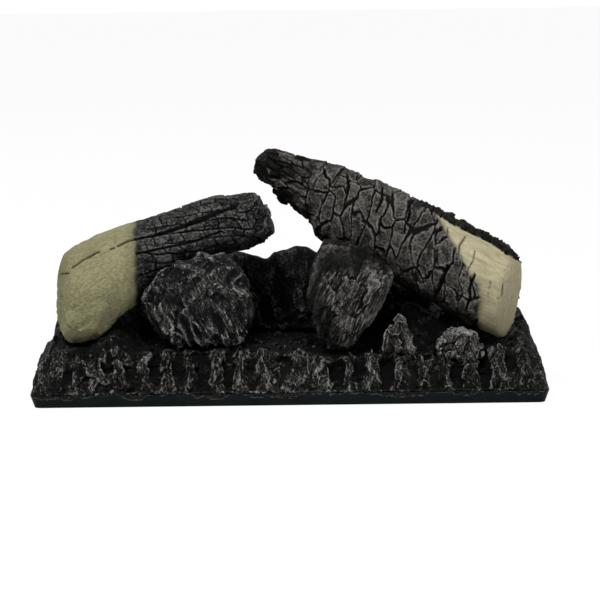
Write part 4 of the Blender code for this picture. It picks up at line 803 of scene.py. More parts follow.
def carve_right_log():
    """A broken tip, burnt staves, then split wood with a strip of bark on top."""
    points, out, along, around = log_skin("right_log", step=1.02 * MM, soft=2.0 * MM)
    seen = front_view(points)
    across = points[..., 0]
    edge_noise = 0.0014 * layered_noise(points / 0.006, 3, 51)
    facing = smooth_step(0.1, -0.1, out[..., 1])

    # Where wood, bark and burnt casting meet
    edge = view_line(BURNT_EDGE)
    past_edge = across + edge_noise - np.interp(seen[..., 1], edge[::-1, 1], edge[::-1, 0])
    wood_side = smooth_step(-0.0018, 0.0018, past_edge)
    bark_line = view_line(BARK_EDGE)
    top = np.interp(across, bark_line[:, 0], bark_line[:, 1])
    front = smooth_step(0.002, -0.002, out[..., 1] - 0.35 * out[..., 2])
    above = smooth_step(-0.0007, 0.0007, seen[..., 1] + 0.4 * edge_noise - top)
    bark = np.clip(above + (1 - front), 0, 1) * smooth_step(0.105, 0.120, across)
    wood = wood_side * (1 - bark)
    char = 1 - wood

    # Cells between the cracks: staves round the log, and long broken splinters at its tip
    lattice = beside((along - 0.30 * around) / 0.0112, around / 0.0310)
    sway, small = noise_vector(points / 0.013, 62, 2), noise_vector(points / 0.0045, 64, 2)
    net, cell, slope = broken_cells(lattice + 0.24 * sway + 0.09 * small, 66, 0.88)
    border = net * 0.0130
    tip = 1 - smooth_step(0.052, 0.082, along + 0.010 * soft_noise(points / 0.014, 67))
    width = 0.0011 * (1.0 + 1.0 * soft_noise(points / 0.013, 68))
    crack = crack_shape(border, np.maximum(width, 0.00035)) * (1 - tip)
    lip = smooth_step(0.0028, 0.0016, border) * smooth_step(0.0006, 0.0014, border) * (1 - tip)
    local = warped(local_places("right_log", points), 0.012, 0.0016, 73)
    splinter, tip_block, tip_slope = broken_cells(local / np.array([0.0240, 0.0090, 0.0066]), 55)
    tip_end = tip * smooth_step(0.030, 0.016, along)
    tip_body = tip - tip_end
    crack = np.maximum(crack, crack_shape(splinter, 0.10) * tip_body)
    wide = 0.0
    for line, half in WIDE_CRACKS:
        foot, head = from_view(*line[-1])[1], from_view(*line[0])[1]
        share = np.clip((seen[..., 1] - foot) / (head - foot), 0, 1)
        taper = 0.35 + 0.65 * np.sin(math.pi * (0.12 + 0.76 * share))
        distance = line_distance(seen, line) + 0.0007 * soft_noise(points / 0.005, 69)
        wide = np.maximum(wide, crack_shape(distance, half * taper) * facing)
    hairline = line_distance(seen, *HAIRLINES) + 0.0004 * soft_noise(points / 0.004, 70)
    thin = crack_shape(hairline, 0.0009) * facing * wood_side
    knot = crack_shape(np.abs(line_distance(seen, KNOT) - KNOT_RADIUS), 0.0011) * facing

    fibres = ridged_noise(local / np.array([0.0170, 0.0040, 0.0026]), 3, 56) - 0.5
    under = smooth_step(-0.2, -0.7, out[..., 2]) * smooth_step(0.12, 0.04, along)
    upper = smooth_step(0.1, 0.7, out[..., 2])
    height = char * (-0.0021 * crack - 0.0014 * knot + 0.0012 * (cell - 0.8) * (1 - tip) + 0.0005 * lip)
    height += char * (1 - tip) * (0.0010 * slope + 0.0004 * layered_noise(points / 0.004, 3, 57))
    height += -0.0036 * wide - 0.0011 * thin
    height += char * mixed(0.0004, 0.0015, tip_body) * fibres
    height += tip_body * (0.0034 * (tip_block - 0.85) + 0.0016 * tip_slope)
    height -= np.maximum(0.8 * under, tip_end * (1 - 0.85 * upper)) * 0.0058 * broken_end(points, 0.016, 58)
    height -= bark * 0.0026 * broken_end(points, 0.0085, 59)
    height += wood * (0.00022 * (ridged_noise(beside(along / 0.020, around / 0.0016), 2, 60) - 0.5)
                      + 0.0006 * layered_noise(points / 0.016, 2, 61) - 0.0012)
    carved = raised(points, out, height, most=0.0009)

    painted = np.maximum(np.maximum(0.95 * crack * char, wide), np.maximum(0.9 * thin, 0.7 * knot))
    painted = np.clip(painted, 0, 1)
    scorch = wood_side * smooth_step(0.0045, 0.0, past_edge) * 0.6
    # Painted shade: the split wood is darkened towards its bottom, below its lit top; this shares a field
    # with the real scorch by the burnt edge.
    low = 0.40 * smooth_step(0.1095, 0.1065, seen[..., 1] + edge_noise)
    low = low + 0.6 * smooth_step(0.105, 0.065, seen[..., 1])
    # Painted shade: burnt faces that look down, and the underside near the tip, are darkened as shade under
    # the log.
    lower = smooth_step(-0.25, -0.80, out[..., 2] + 0.15 * soft_noise(points / 0.016, 71))
    behind = smooth_step(0.085, 0.175, across + 0.018 * soft_noise(points / 0.020, 74))
    soot = np.clip(0.86 * bark * mixed(behind, 1.0, front) + lower * char + 0.5 * under, 0, 1)
    fields = finished_fields(carved, points, out, char, painted * (1 - bark), soot=soot,
                             scorch=np.clip(scorch + 0.55 * low * wood, 0, 1))
    strands = tip * smooth_step(0.16, 0.36, fibres) * smooth_step(-0.35, 0.15, soft_noise(points / 0.009, 75))
    fields["wear"] = 0.75 * fields["wear"] + 0.50 * lip * char * (1 - bark) + 0.10 * tip + 0.75 * strands
    dull = (tip - 0.8 * strands) * smooth_step(-0.2, 0.4, soft_noise(points / 0.012, 72) - 0.3 * fibres)
    fields["soot"] = np.clip(fields["soot"] + 0.9 * dull + 0.6 * tip_end, 0, 1)
    return carved, fields


def carve_left_support():
    """Smooth hollows swept from upper left to lower right, with claws hanging from the lower edge."""
    points, out = log_skin("left_support_log", step=1.0 * MM, soft=1.5 * MM)[:2]
    seen = front_view(points)
    across, depth, up = points[..., 0], points[..., 1], seen[..., 1]
    bend = noise_vector(points / 0.021, 71)
    sweep_x, sweep_y = across * 0.80 + up * 0.60, -across * 0.60 + up * 0.80
    upper = beside(sweep_x / 0.0340, sweep_y / 0.0098, depth / 0.030) + 0.45 * bend
    claws = beside((across + 0.45 * up) / 0.0074, up / 0.0260, depth / 0.022) + 0.38 * bend
    lower = smooth_step(0.094, 0.076, up + 0.006 * soft_noise(points / 0.02, 78))
    arcs, arc_lines = furrows(upper, 74, (0.0048, 0.0015, 0.0005))
    drops, drop_lines = furrows(claws, 75, (0.0056, 0.0016, 0.0005))
    _, number, slope = broken_cells(points / 0.022 + 0.30 * bend, 76)
    height = 1.2 * mixed(arcs, drops, lower) + 0.0024 * slope + 0.0020 * (number - 0.85)
    height += 0.0003 * layered_noise(points / 0.003, 3, 77)
    lines = mixed(arc_lines, drop_lines, lower) * smooth_step(-0.10, 0.40, soft_noise(points / 0.016, 79))
    carved = raised(points, out, height, most=0.0009)
    shade = smooth_step(-0.128, -0.150, across) * 0.8
    shade = np.maximum(shade, smooth_step(-0.040, -0.026, across) * 0.6)
    fields = finished_fields(carved, points, out, soot=shade)
    fields["wear"] = 0.80 * fields["wear"] + 0.28 * lines
    return carved, fields


def carve_right_support():
    """Splintered fibres that lean to the right, broken into chunks."""
    points, out = log_skin("right_support_log", step=1.0 * MM, soft=1.3 * MM)[:2]
    across, depth, up = points[..., 0], points[..., 1], points[..., 2]
    lean = across - 0.42 * (up - 0.08)
    flow = beside(lean / 0.0036, up / 0.026, depth / 0.0080)
    sway = noise_vector(points / 0.012, 81)
    fibres, lines = furrows(flow + 0.45 * sway, 84, (0.0030, 0.0014, 0.0006))
    chunks, number, slope = broken_cells(flow * np.array([0.22, 0.70, 0.34]) + 0.22 * sway, 85)
    height = fibres + 0.0034 * slope + 0.0028 * (number - 0.85) - 0.0010 * crack_shape(chunks, 0.07)
    height += 0.0003 * layered_noise(points / 0.0028, 3, 86)
    carved = raised(points, out, height, most=0.0012)
    # Painted shade: the top of the support, under the right log, is darkened; its left edge is darkened too.
    top = smooth_step(0.111, 0.123, front_view(points)[..., 1] + 0.005 * soft_noise(points / 0.010, 87))
    edge = smooth_step(0.034, 0.024, across + 0.35 * (up - 0.10))
    soot = np.maximum(mixed(0.92, 0.55, smooth_step(0.2, 0.6, number)) * top, 0.6 * edge)
    fields = finished_fields(carved, points, out, soot=soot)
    lines = lines * smooth_step(-0.25, 0.30, soft_noise(points / 0.014, 88))
    fields["wear"] = fields["wear"] + 0.20 * lines
    return carved, fields


def carve_rear_log():
    """Dark lumps and hollows, plainer on top and towards the bed."""
    points, out = log_skin("rear_log", step=1.25 * MM, soft=1.6 * MM)[:2]
    across, depth, up = points[..., 0], points[..., 1], points[..., 2]
    flow = beside(across / 0.0085, up / 0.015, depth / 0.012) + 0.5 * noise_vector(points / 0.016, 91)
    _, number, slope = broken_cells(flow * 0.7, 94)
    hollows, lines = furrows(flow * 0.8, 95, (0.0040, 0.0014))
    height = hollows + 0.0034 * slope + 0.0026 * (number - 0.85)
    height *= smooth_step(0.0475, 0.0560, up) * mixed(1.0, 0.15, smooth_step(0.2, 0.7, out[..., 2]))
    carved = raised(points, out, height, most=0.0009)
    fields = finished_fields(carved, points, out, soot=0.35)
    fields["wear"] = fields["wear"] + 0.55 * lines * smooth_step(0.0, 0.45, soft_noise(points / 0.012, 97))
    return carved, fields


def carve_middle_ember():
    """A splintered flame shape: fibres that run up and fan out."""
    points, out = log_skin("middle_ember", step=0.6 * MM, soft=0.8 * MM)[:2]
    fan = (points[..., 0] - 0.0935) / (1.35 - 9.0 * (points[..., 2] - 0.045))
    flow = beside(fan / 0.0030, points[..., 2] / 0.016, points[..., 1] / 0.0060)
    sway = noise_vector(points / 0.007, 112)
    fibres, lines = furrows(flow + 0.40 * sway, 115, (0.0020, 0.0009, 0.0003))
    _, number, slope = broken_cells(flow * np.array([0.35, 0.8, 0.4]) + 0.2 * sway, 116)
    height = fibres + 0.0030 * slope + 0.0022 * (number - 0.85)
    carved = raised(points, out, height, most=0.0008)
    fields = finished_fields(carved, points, out, fine=EMBER_EDGE_HEIGHT)
    fields["wear"] = fields["wear"] + 0.25 * lines
    return carved, fields


def carve_right_ember():
    """A blocky lump with a bright upper rim and flat, chipped faces."""
    points, out = log_skin("right_ember", step=0.6 * MM, soft=0.8 * MM)[:2]
    sway = noise_vector(points / 0.008, 122)
    chips, number, slope = broken_cells(points / 0.0120 + 0.18 * sway, 125)
    small_slope = broken_cells(points / 0.0046 + 0.20 * sway, 126)[2]
    height = 0.0062 * slope + 0.0034 * (number - 0.80) + 0.0011 * small_slope
    height = height - 0.0011 * crack_shape(chips, 0.09)
    carved = raised(points, out, height, most=0.0010)
    fields = finished_fields(carved, points, out, fine=EMBER_EDGE_HEIGHT)
    rim = smooth_step(0.0, 0.8, out[..., 2]) * smooth_step(0.052, 0.060, points[..., 2])
    fields["wear"] = fields["wear"] + 0.35 * rim
    return carved, fields


# The ember bed: a shell whose outside is cast from a core under it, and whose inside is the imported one's

BED_LOW, BED_HIGH = (np.array(corner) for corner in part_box("ember_bed"))
BED_BASE = 0.0108

# Half lengths of the core, and how far in from its outside the bed's walls reach at the sides, front and back
CORE_X, CORE_Y = 0.185, 0.045
WALL_SIDE, WALL_FRONT, WALL_BACK = 0.0155, 0.0145, 0.0115


def sweep(half, steps, front_rows, back_rows):
    """Places along a core line and tilts at its ends, from level through upright to level again."""
    front = [(-half, -(math.pi / 2) * (1 - row / front_rows)) for row in range(front_rows)]
    middle = [(half * (2 * row / steps - 1), 0.0) for row in range(steps + 1)]
    back = [(half, (math.pi / 2) * (row + 1) / back_rows) for row in range(back_rows)]
    made = np.array(front + middle + back)
    return made[:, 0], made[:, 1]


def bed_skin():
    """A grid of points over the outside of the bed, from one edge of its foot to the other both ways."""
    across, lean = sweep(CORE_X, steps=290, front_rows=44, back_rows=44)
    depth, tip = sweep(CORE_Y, steps=62, front_rows=84, back_rows=44)
    starts = beside(across[:, None], depth[None], BED_BASE + 0.0006)
    directions = beside(np.sin(lean)[:, None], np.sin(tip)[None], np.cos(lean)[:, None] * np.cos(tip)[None])
    directions /= np.linalg.norm(directions, axis=-1, keepdims=True)
    reach = filled_seats("ember_bed", starts, directions, cast_skin("ember_bed", starts, directions), False)
    inner = blurred(reach, 1.0, 1.2, wrap=False)
    reach[1:-1, 1:-1] = inner[1:-1, 1:-1]
    return starts + directions * reach[..., None]


def carve_bed():
    """The carved outside of the bed, with fins along its front and a rough terrace, and its fields."""
    points = bed_skin()
    out = normals(points, wrap=False)
    level = points[..., 2] - BED_BASE
    rim = smooth_step(0.0002, 0.0035, level)
    soft = blurred(points, 8.0, 1.2, wrap=False)
    soft_out = normals(blurred(points, 5.0, 4.0, wrap=False), wrap=False)
    stands_out = ((points - soft) * soft_out).sum(-1)
    front = smooth_step(-0.050, -0.058, points[..., 1])
    gap = smooth_step(-0.0008, -0.0044, stands_out + 0.0007 * soft_noise(points / 0.008, 100))
    terrace = smooth_step(0.70, 0.92, soft_out[..., 2]) * (1 - front)
    faced = front * smooth_step(0.006, 0.012, level)
    between = (gap * faced).sum(1, keepdims=True) / (faced.sum(1, keepdims=True) + 1e-6)
    lip = smooth_step(-0.040, -0.054, points[..., 1]) * smooth_step(0.016, 0.026, level)
    lip = lip * between * smooth_step(0.30, 0.75, soft_out[..., 2])
    hump = smooth_step(0.176, 0.194, np.abs(points[..., 0]))

    flow = warped(points, 0.012, 0.0050, 101) / np.array([0.0105, 0.0120, 0.0230])
    net, number, slope = broken_cells(flow, 104)
    flow = warped(points, 0.014, 0.0058, 105) / np.array([0.0120, 0.0130, 0.0270])
    hollows, lines = furrows(flow, 105, (0.0030, 0.0013, 0.0005))
    height = hollows + 0.0034 * slope + 0.0024 * (number - 0.80) - 0.0008 * crack_shape(net, 0.07)
    height += 0.0003 * layered_noise(points / 0.0032, 3, 108)
    height -= 0.0034 * gap * front
    height *= (1 - 0.65 * terrace) * (1 - 0.45 * hump)
    height -= 0.0050 * lip * (0.6 + 0.4 * soft_noise(points / 0.007, 112))
    carved = points + out * (rim * np.minimum(height, 0.0010))[..., None]
    for node in SHORT_LOGS:
        carved = keep_clear(carved, node, NEST_GAP)
    carved[..., 2] = np.maximum(carved[..., 2], BED_BASE + 0.0002)

    wear, body = edge_wear(carved, points, out, wrap=False)
    patch = smooth_step(-0.15, 0.40, soft_noise(points / 0.017, 109))
    foot = smooth_step(0.0045, 0.0010, level) * smooth_step(-0.3, 0.4, soft_noise(points / 0.006, 110))
    toe = smooth_step(0.0004, 0.0030, level + 0.0012 * soft_noise(points / 0.007, 113))
    wear = (0.84 * wear + 0.20 * lines * patch + 0.3 * foot) * mixed(0.25, 1.0, toe)
    # Painted shade: the gaps between the front fins and the bed behind them are darkened, less on the humps
    # at the ends.
    deep = smooth_step(-0.3, 0.6, soft_noise(points / 0.020, 111))
    soot = np.maximum(gap * front, mixed(0.92, 0.55, deep) * (1 - front) * (1 - 0.8 * hump))
    return carved, {"wear": wear, "crack": 0 * wear, "soot": np.clip(soot, 0, 1),
                    "body": body + 0.15 * smooth_step(0.022, 0.004, level)}


def bed_inside():
    """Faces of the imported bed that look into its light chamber, with the screw holes closed."""
    made = bmesh.new()
    made.from_mesh(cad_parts["ember_bed"].data)
    bmesh.ops.remove_doubles(made, verts=made.verts, dist=1e-6)
    tree = TREES["ember_bed"]
    inside = set()
    for vert in made.verts:
        x, y, z = vert.co
        if abs(x) > BED_HIGH[0] - WALL_SIDE or y < BED_LOW[1] + WALL_FRONT or y > BED_HIGH[1] - WALL_BACK:
            continue
        if tree.ray_cast(Vector((x, y, z + 0.0015)), Vector((0, 0, 1)))[0] is not None:
            inside.add(vert)
    outer = [face for face in made.faces if not all(vert in inside for vert in face.verts)]
    bmesh.ops.delete(made, geom=outer, context="FACES")

    # The chamber is the largest island of faces. Others are left where seats and posts meet the walls
    chamber, unseen = set(), set(made.faces)
    while unseen:
        island, waiting = set(), [unseen.pop()]
        while waiting:
            face = waiting.pop()
            island.add(face)
            neighbours = {other for edge in face.edges for other in edge.link_faces} & unseen
            unseen -= neighbours
            waiting += neighbours
        chamber = max(chamber, island, key=len)
    bmesh.ops.delete(made, geom=[face for face in made.faces if face not in chamber], context="FACES")
    bmesh.ops.delete(made, geom=[vert for vert in made.verts if not vert.link_faces], context="VERTS")
    edges = [edge for edge in made.edges if edge.is_boundary and edge.verts[0].co.z > BED_BASE + 0.0004]
    bmesh.ops.holes_fill(made, edges=edges, sides=24)

    # The loop of points round the chamber's open mouth
    made.verts.index_update()
    made.edges.index_update()
    left = {edge for edge in made.edges if edge.is_boundary}
    edge = min(left, key=lambda each: each.index)
    left.discard(edge)
    loop = [edge.verts[0], edge.verts[1]]
    while loop[0] is not loop[-1]:
        after = next(each for each in loop[-1].link_edges if each in left)
        left.discard(after)
        loop.append(after.other_vert(loop[-1]))
    mouth = [vert.index for vert in loop[:-1]]
    points = np.array([vert.co[:] for vert in made.verts])
    faces = [[vert.index for vert in face.verts] for face in made.faces]
    made.free()
    return points, faces, mouth


def build_bed(material):
    """One closed shell: the carved outside, a rim under its edge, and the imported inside."""
    grid, fields = carve_bed()
    rows, columns = grid.shape[:2]
    border = [(0, column) for column in range(columns)]
    border += [(row, columns - 1) for row in range(1, rows)]
    border += [(rows - 1, column) for column in range(columns - 2, -1, -1)]
    border += [(row, 0) for row in range(rows - 2, 0, -1)]
    edge = np.array([[*grid[place][:2], BED_BASE] for place in border])
    inside, inside_faces, mouth = bed_inside()
    count = rows * columns
    first_inside = count + len(border)
    points = np.concatenate([grid.reshape(-1, 3), edge, inside])
    faces = grid_faces(rows, columns, wrap=False)
    for place in range(len(border)):
        after = (place + 1) % len(border)
        here, there = (row * columns + column for row, column in (border[place], border[after]))
        faces.append((here, there, count + after, count + place))
    faces += [tuple(first_inside + vert for vert in face) for face in inside_faces]
    rim = [[Vector(point) for point in edge], [Vector(inside[vert]) for vert in mouth]]
    numbers = list(range(count, first_inside)) + [first_inside + vert for vert in mouth]
    faces += [tuple(numbers[corner] for corner in corners) for corners in tessellate_polygon(rim)]
    rest = len(points) - count
    full = {key: np.concatenate([values.ravel(), np.full(rest, 0.5 if key == "body" else 0.0)])
            for key, values in fields.items()}
    return add_piece("bed_shell", points, faces, material, full)


# Seats: stepped recesses cut into the upper logs, and the posts that enter them

BARE_CASTING = {"char": 1.0, "soot": 0.45, "body": 0.45, "wear": 0.0, "crack": 0.0}
POST_CASTING = {"body": 0.6, "soot": 0.25, "wear": 0.05}
SEAT_SHARP_DEG, POST_SHARP_DEG = 50, 35


def turned_body(name, profile, frames, sides, material=None):
    """Closed turned bodies, one on each frame, from (radius, height) points from axis to axis."""
    points, faces = [], []
    rings = profile[1:-1]
    for origin, axes in frames:
        base = len(points)
        points.append(origin + axes @ np.array([0, 0, profile[0][1]]))
        for radius, height in rings:
            for side in range(sides):
                turn = 2 * math.pi * side / sides
                local = np.array([radius * math.cos(turn), radius * math.sin(turn), height])
                points.append(origin + axes @ local)
        points.append(origin + axes @ np.array([0, 0, profile[-1][1]]))
        last = len(points) - 1
        for side in range(sides):
            after = (side + 1) % sides
            faces.append((base, base + 1 + after, base + 1 + side))
            for ring in range(len(rings) - 1):
                here = base + 1 + ring * sides
                faces.append((here + side, here + after, here + sides + after, here + sides + side))
            here = base + 1 + (len(rings) - 1) * sides
            faces.append((here + side, here + after, last))
    return add_piece(name, points, faces, material, sharp=POST_SHARP_DEG)


def cut_seats(piece, node):
    """Recesses and peg holes cut into an upper log, with the colour of bare casting inside them."""
    frames = list(seat_frames(node))
    profile = [(0, -RECESS_LENGTH), (RECESS_RADIUS, -RECESS_LENGTH), (RECESS_RADIUS, 0), (PEG_HOLE_RADIUS, 0),
               (PEG_HOLE_RADIUS, PEG_HOLE_DEPTH), (0, PEG_HOLE_DEPTH)]
    tool = turned_body("seat_tool", profile, frames, SEAT_SIDES)
    modifier = piece.modifiers.new("seats", "BOOLEAN")
    modifier.operation, modifier.solver, modifier.object = "DIFFERENCE", "EXACT", tool
    made = plain_mesh(piece)
    piece.modifiers.clear()
    piece.data = made
    bpy.data.objects.remove(tool)
    points = np.array([vert.co for vert in made.vertices])
    inside = np.zeros(len(points), bool)
    for origin, axes in frames:
        local = (points - origin) @ axes
        inside |= (np.hypot(local[:, 0], local[:, 1]) < RECESS_RADIUS + 0.00002) & (local[:, 2] > -0.030) & (
            local[:, 2] < PEG_HOLE_DEPTH + 0.0005)
    for name, value in BARE_CASTING.items():
        layer = made.attributes[name]
        values = np.zeros(len(points), np.float32)
        layer.data.foreach_get("value", values)
        values[inside] = value
        layer.data.foreach_set("value", values)
    made.set_sharp_from_angle(angle=math.radians(SEAT_SHARP_DEG))


def add_posts(node, finish):
    """The posts that stand on a lower piece and enter the recesses of the upper logs."""
    profile = [(0, -POST_LENGTH), (SEAT_RADIUS, -POST_LENGTH), (SEAT_RADIUS, POST_EDGE),
               (SEAT_RADIUS - POST_BEVEL, POST_TOP), (0, POST_TOP)]
    post = turned_body(node + "_post", profile, list(seat_frames(node)), POST_SIDES, finish)
    paint(post.data, POST_CASTING)
    return post


# Loose embers: lumps set on points by a node tree, with their own sizes, turns and roughness

LUMP_INPUTS = {"Seed": ("NodeSocketInt", 5), "Roughness": ("NodeSocketFloat", 0.9),
               "Grain": ("NodeSocketFloat", 210.0)}
CRUMB_FIELD, CRUMB_TRIES, MOST_CRUMBS = ((-0.205, 0.205), (-0.056, 0.076)), 2600, 620
LUMP_SPREAD, LOG_CLEARANCE = 1.5, 0.0012
HEAP_SPREAD, HEAP_CLEARANCE, HEAP_STEP, LEAST_LUMP = 1.45, 0.0010, 0.0036, 0.0012
CRUMBS_AT_FEET = {"left_support_log": 60, "right_support_log": 50, "middle_ember": 46, "right_ember": 56}

# Heaps where the ridge is low: the place of each across, its places in depth, and its top
HEAPS = ((0.1105, (0.046, 0.060), 0.0800), (0.1180, (0.050, 0.066), 0.0770), (0.1235, (0.052, 0.064), 0.0790),
         (0.2095, (0.036, 0.050), 0.0500), (-0.1310, (0.040, 0.056, 0.068), 0.0720),
         (-0.1355, (0.050, 0.064), 0.0740), (-0.1240, (0.030,), 0.0560))


def lump_tree():
    """Points with a size become rough lumps, none like another."""
    tree = bpy.data.node_groups.new("ember_lumps", "GeometryNodeTree")
    face = tree.interface
    face.new_socket("Geometry", in_out="INPUT", socket_type="NodeSocketGeometry")
    for label, (kind, value) in LUMP_INPUTS.items():
        face.new_socket(label, in_out="INPUT", socket_type=kind).default_value = value
    face.new_socket("Finish", in_out="INPUT", socket_type="NodeSocketMaterial")
    face.new_socket("Geometry", in_out="OUTPUT", socket_type="NodeSocketGeometry")
    given = tree.nodes.new("NodeGroupInput").outputs
    leave = tree.nodes.new("NodeGroupOutput")

    def chance(low, high):
        inputs = {"Min": low, "Max": high, "Seed": given["Seed"]}
        return add_node(tree, "FunctionNodeRandomValue", inputs, data_type="FLOAT_VECTOR").outputs[0]

    def changed(kind, geometry, **inputs):
        return add_node(tree, "GeometryNode" + kind, {0: geometry, **inputs}).outputs[0]

    size = add_node(tree, "GeometryNodeInputNamedAttribute", {"Name": "size"}, data_type="FLOAT").outputs[0]
    ball = add_node(tree, "GeometryNodeMeshIcoSphere", {"Radius": 1.0, "Subdivisions": 2}).outputs["Mesh"]
    scaled = vector_maths(tree, "SCALE", chance((0.75, 0.70, 0.60), (1.25, 1.10, 1.05)), size)
    turned = chance((0, 0, 0), (6.28, 6.28, 6.28))
    lumps = changed("InstanceOnPoints", given["Geometry"], Instance=ball, Rotation=turned, Scale=scaled)
    lumps = changed("RealizeInstances", lumps)
    place = add_node(tree, "GeometryNodeInputPosition").outputs[0]
    noise = add_node(tree, "ShaderNodeTexNoise", {"Vector": place, "Scale": given["Grain"], "Detail": 2.0})
    push = vector_maths(tree, "SUBTRACT", noise.outputs["Color"], MIDDLE)
    push = vector_maths(tree, "SCALE", push, times(tree, size, given["Roughness"]))
    lumps = changed("SetPosition", lumps, Offset=push)
    lumps = changed("SetShadeSmooth", lumps, **{"Shade Smooth": False})
    tree.links.new(changed("SetMaterial", lumps, Material=given["Finish"]), leave.inputs[0])
    return tree


def lump_places(shell):
    """Middles, sizes and soot of the lumps: crumbs over the terrace and at the logs' feet, and the heaps."""
    ground = solid_tree(shell.data)

    def dropped(x, y, height=0.2):
        return ground.ray_cast(Vector((x, y, height)), Vector((0, 0, -1)))[:2]

    def room(place):
        return [min(TREES[name].find_nearest(Vector(place))[3] for name in names)
                for names in (UPPER_LOGS, SHORT_LOGS)]

    chance = np.random.default_rng(17)
    found = []
    for _ in range(CRUMB_TRIES):
        x, y = (chance.uniform(low, high) for low, high in CRUMB_FIELD)
        size = 0.0011 + 0.0024 * chance.random() ** 2.5
        hit, normal = dropped(x, y)
        if hit is None or normal.z < 0.55:
            continue
        place = (x, y, hit.z + 0.25 * size)
        to_logs, to_short = room(place)
        clear = to_logs >= LUMP_SPREAD * size + LOG_CLEARANCE and to_short >= 0.4 * size
        if not clear or len(found) > MOST_CRUMBS:
            continue
        found.append((*place, size, 0.35 + 0.55 * chance.random()))
    for name, count in CRUMBS_AT_FEET.items():
        low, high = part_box(name)
        for _ in range(count):
            x = chance.uniform(low[0] - 0.003, high[0] + 0.003)
            y = chance.uniform(low[1] - 0.006, low[1] + 0.012)
            size = chance.uniform(0.0014, 0.0034)
            hit = dropped(x, y, low[2] + 0.012)[0]
            if hit is None or hit.z < low[2] - 0.010:
                continue
            place = (x, y, hit.z + 0.35 * size)
            to_logs, to_short = room(place)
            if to_logs > LUMP_SPREAD * size + LOG_CLEARANCE and to_short < 1.6 * size:
                found.append((*place, size, 0.45 * chance.random()))
    for x, depths, top in HEAPS:
        for y in depths:
            z = dropped(x, y)[0].z + 0.002
            while z < top + 0.004:
                size = 0.0042 + 0.0012 * chance.random()
                place = (x + chance.uniform(-0.0012, 0.0012), y, z)
                size = min(size, (room(place)[0] - HEAP_CLEARANCE) / HEAP_SPREAD)
                if size > LEAST_LUMP:
                    found.append((*place, size, 0.80))
                z += HEAP_STEP
    return np.array(found)


def add_lumps(shell, finish):
    """The loose embers as one plain mesh."""
    found = lump_places(shell)
    mesh = bpy.data.meshes.new("ember_points")
    mesh.from_pydata([tuple(each[:3]) for each in found], [], [])
    paint(mesh, {"size": found[:, 3], "soot": found[:, 4]})
    host = add_object("ember_points", mesh)
    tree = lump_tree()
    modifier = host.modifiers.new("lumps", "NODES")
    modifier.node_group = tree
    names = {item.name: item.identifier for item in tree.interface.items_tree if item.in_out == "INPUT"}
    for label, (_, value) in LUMP_INPUTS.items():
        modifier[names[label]] = value
    modifier[names["Finish"]] = finish
    made = plain_mesh(host)
    made.name = "loose_embers"
    bpy.data.objects.remove(host)
    paint(made, {"wear": 0.25, "body": 0.75})
    return add_object("loose_embers", made)


# Finishes of the pieces, and where the bed's black laps over the tray: its highest level, how far its waves
# come down and how soft its edge is

LAP_TOP, LAP_WAVE, LAP_EDGE = 0.0118, 0.0056, 0.0004


def plain_finish(name, dark, light, roughness, scale, bump, metallic=0.0):
    """A moulded, turned or plated surface: two close tones in soft patches, and a fine skin."""
    made, tree, shader, place = new_finish(name, roughness, metallic)
    patches = noise_value(tree, place, scale, 3.0, 0.6)
    colour = mix_colour(tree, ramp(tree, patches, 0.35, 0.65), dark, light)
    tree.links.new(colour, shader.inputs["Base Color"])
    fine = noise_value(tree, place, scale * 12.0, 2.0, 0.5)
    tree.links.new(ramp(tree, fine, 0.3, 0.7, roughness * 0.85, min(1.0, roughness * 1.15)),
                   shader.inputs["Roughness"])
    add_bump(tree, shader, fine, bump, 0.5)
    return made


def tray_shell_finish():
    """Blue-black moulded tray, its upper edge lapped in waves by the bed's black and paint, with a painted
    highlight.
    """
    made, tree, shader, place = new_finish("tray_shell", 0.50)
    shader.inputs["Specular IOR Level"].default_value = 0.06
    parts = add_node(tree, "ShaderNodeSeparateXYZ", {"Vector": place}).outputs
    level = add_node(tree, "ShaderNodeCombineXYZ", {"X": parts["X"], "Y": parts["Y"]}).outputs[0]
    wave = ramp(tree, noise_value(tree, level, 38.0, 4.0, 0.62), 0.36, 0.64)
    above = minus(tree, parts["Z"], minus(tree, LAP_TOP, times(tree, wave, LAP_WAVE)))
    lapped = ramp(tree, above, 0.0, LAP_EDGE)
    # Painted highlight: a thin, broken grey line just above the lap's edge, standing in for light caught
    # along that edge
    near = ramp(tree, maths(tree, "ABSOLUTE", minus(tree, above, 0.0003)), 0.0, 0.0006, 1.0, 0.0)
    broken = ramp(tree, noise_value(tree, place, 260.0, 3.0, 0.6), 0.40, 0.60)
    grit = ramp(tree, noise_value(tree, place, 620.0, 3.0, 0.7), 0.46, 0.64)
    soft = ramp(tree, noise_value(tree, place, 60.0, 3.0, 0.6), 0.35, 0.65)
    smooth = mix_colour(tree, soft, (0.0022, 0.0042, 0.0046), (0.0036, 0.0066, 0.0072))
    rough = mix_colour(tree, grit, (0.0024, 0.0023, 0.0022), (0.030, 0.029, 0.027))
    colour = mix_colour(tree, lapped, smooth, rough)
    # The grey of the painted highlight
    colour = mix_colour(tree, times(tree, near, broken), colour, (0.105, 0.104, 0.098))
    tree.links.new(colour, shader.inputs["Base Color"])
    fine = noise_value(tree, place, 700.0, 2.0, 0.5)
    tree.links.new(ramp(tree, fine, 0.3, 0.7, 0.42, 0.58), shader.inputs["Roughness"])
    step = plus(tree, times(tree, lapped, plus(tree, grit, 1.4)), times(tree, fine, 0.08))
    add_bump(tree, shader, step, 0.5 * MM, 0.8)
    return made


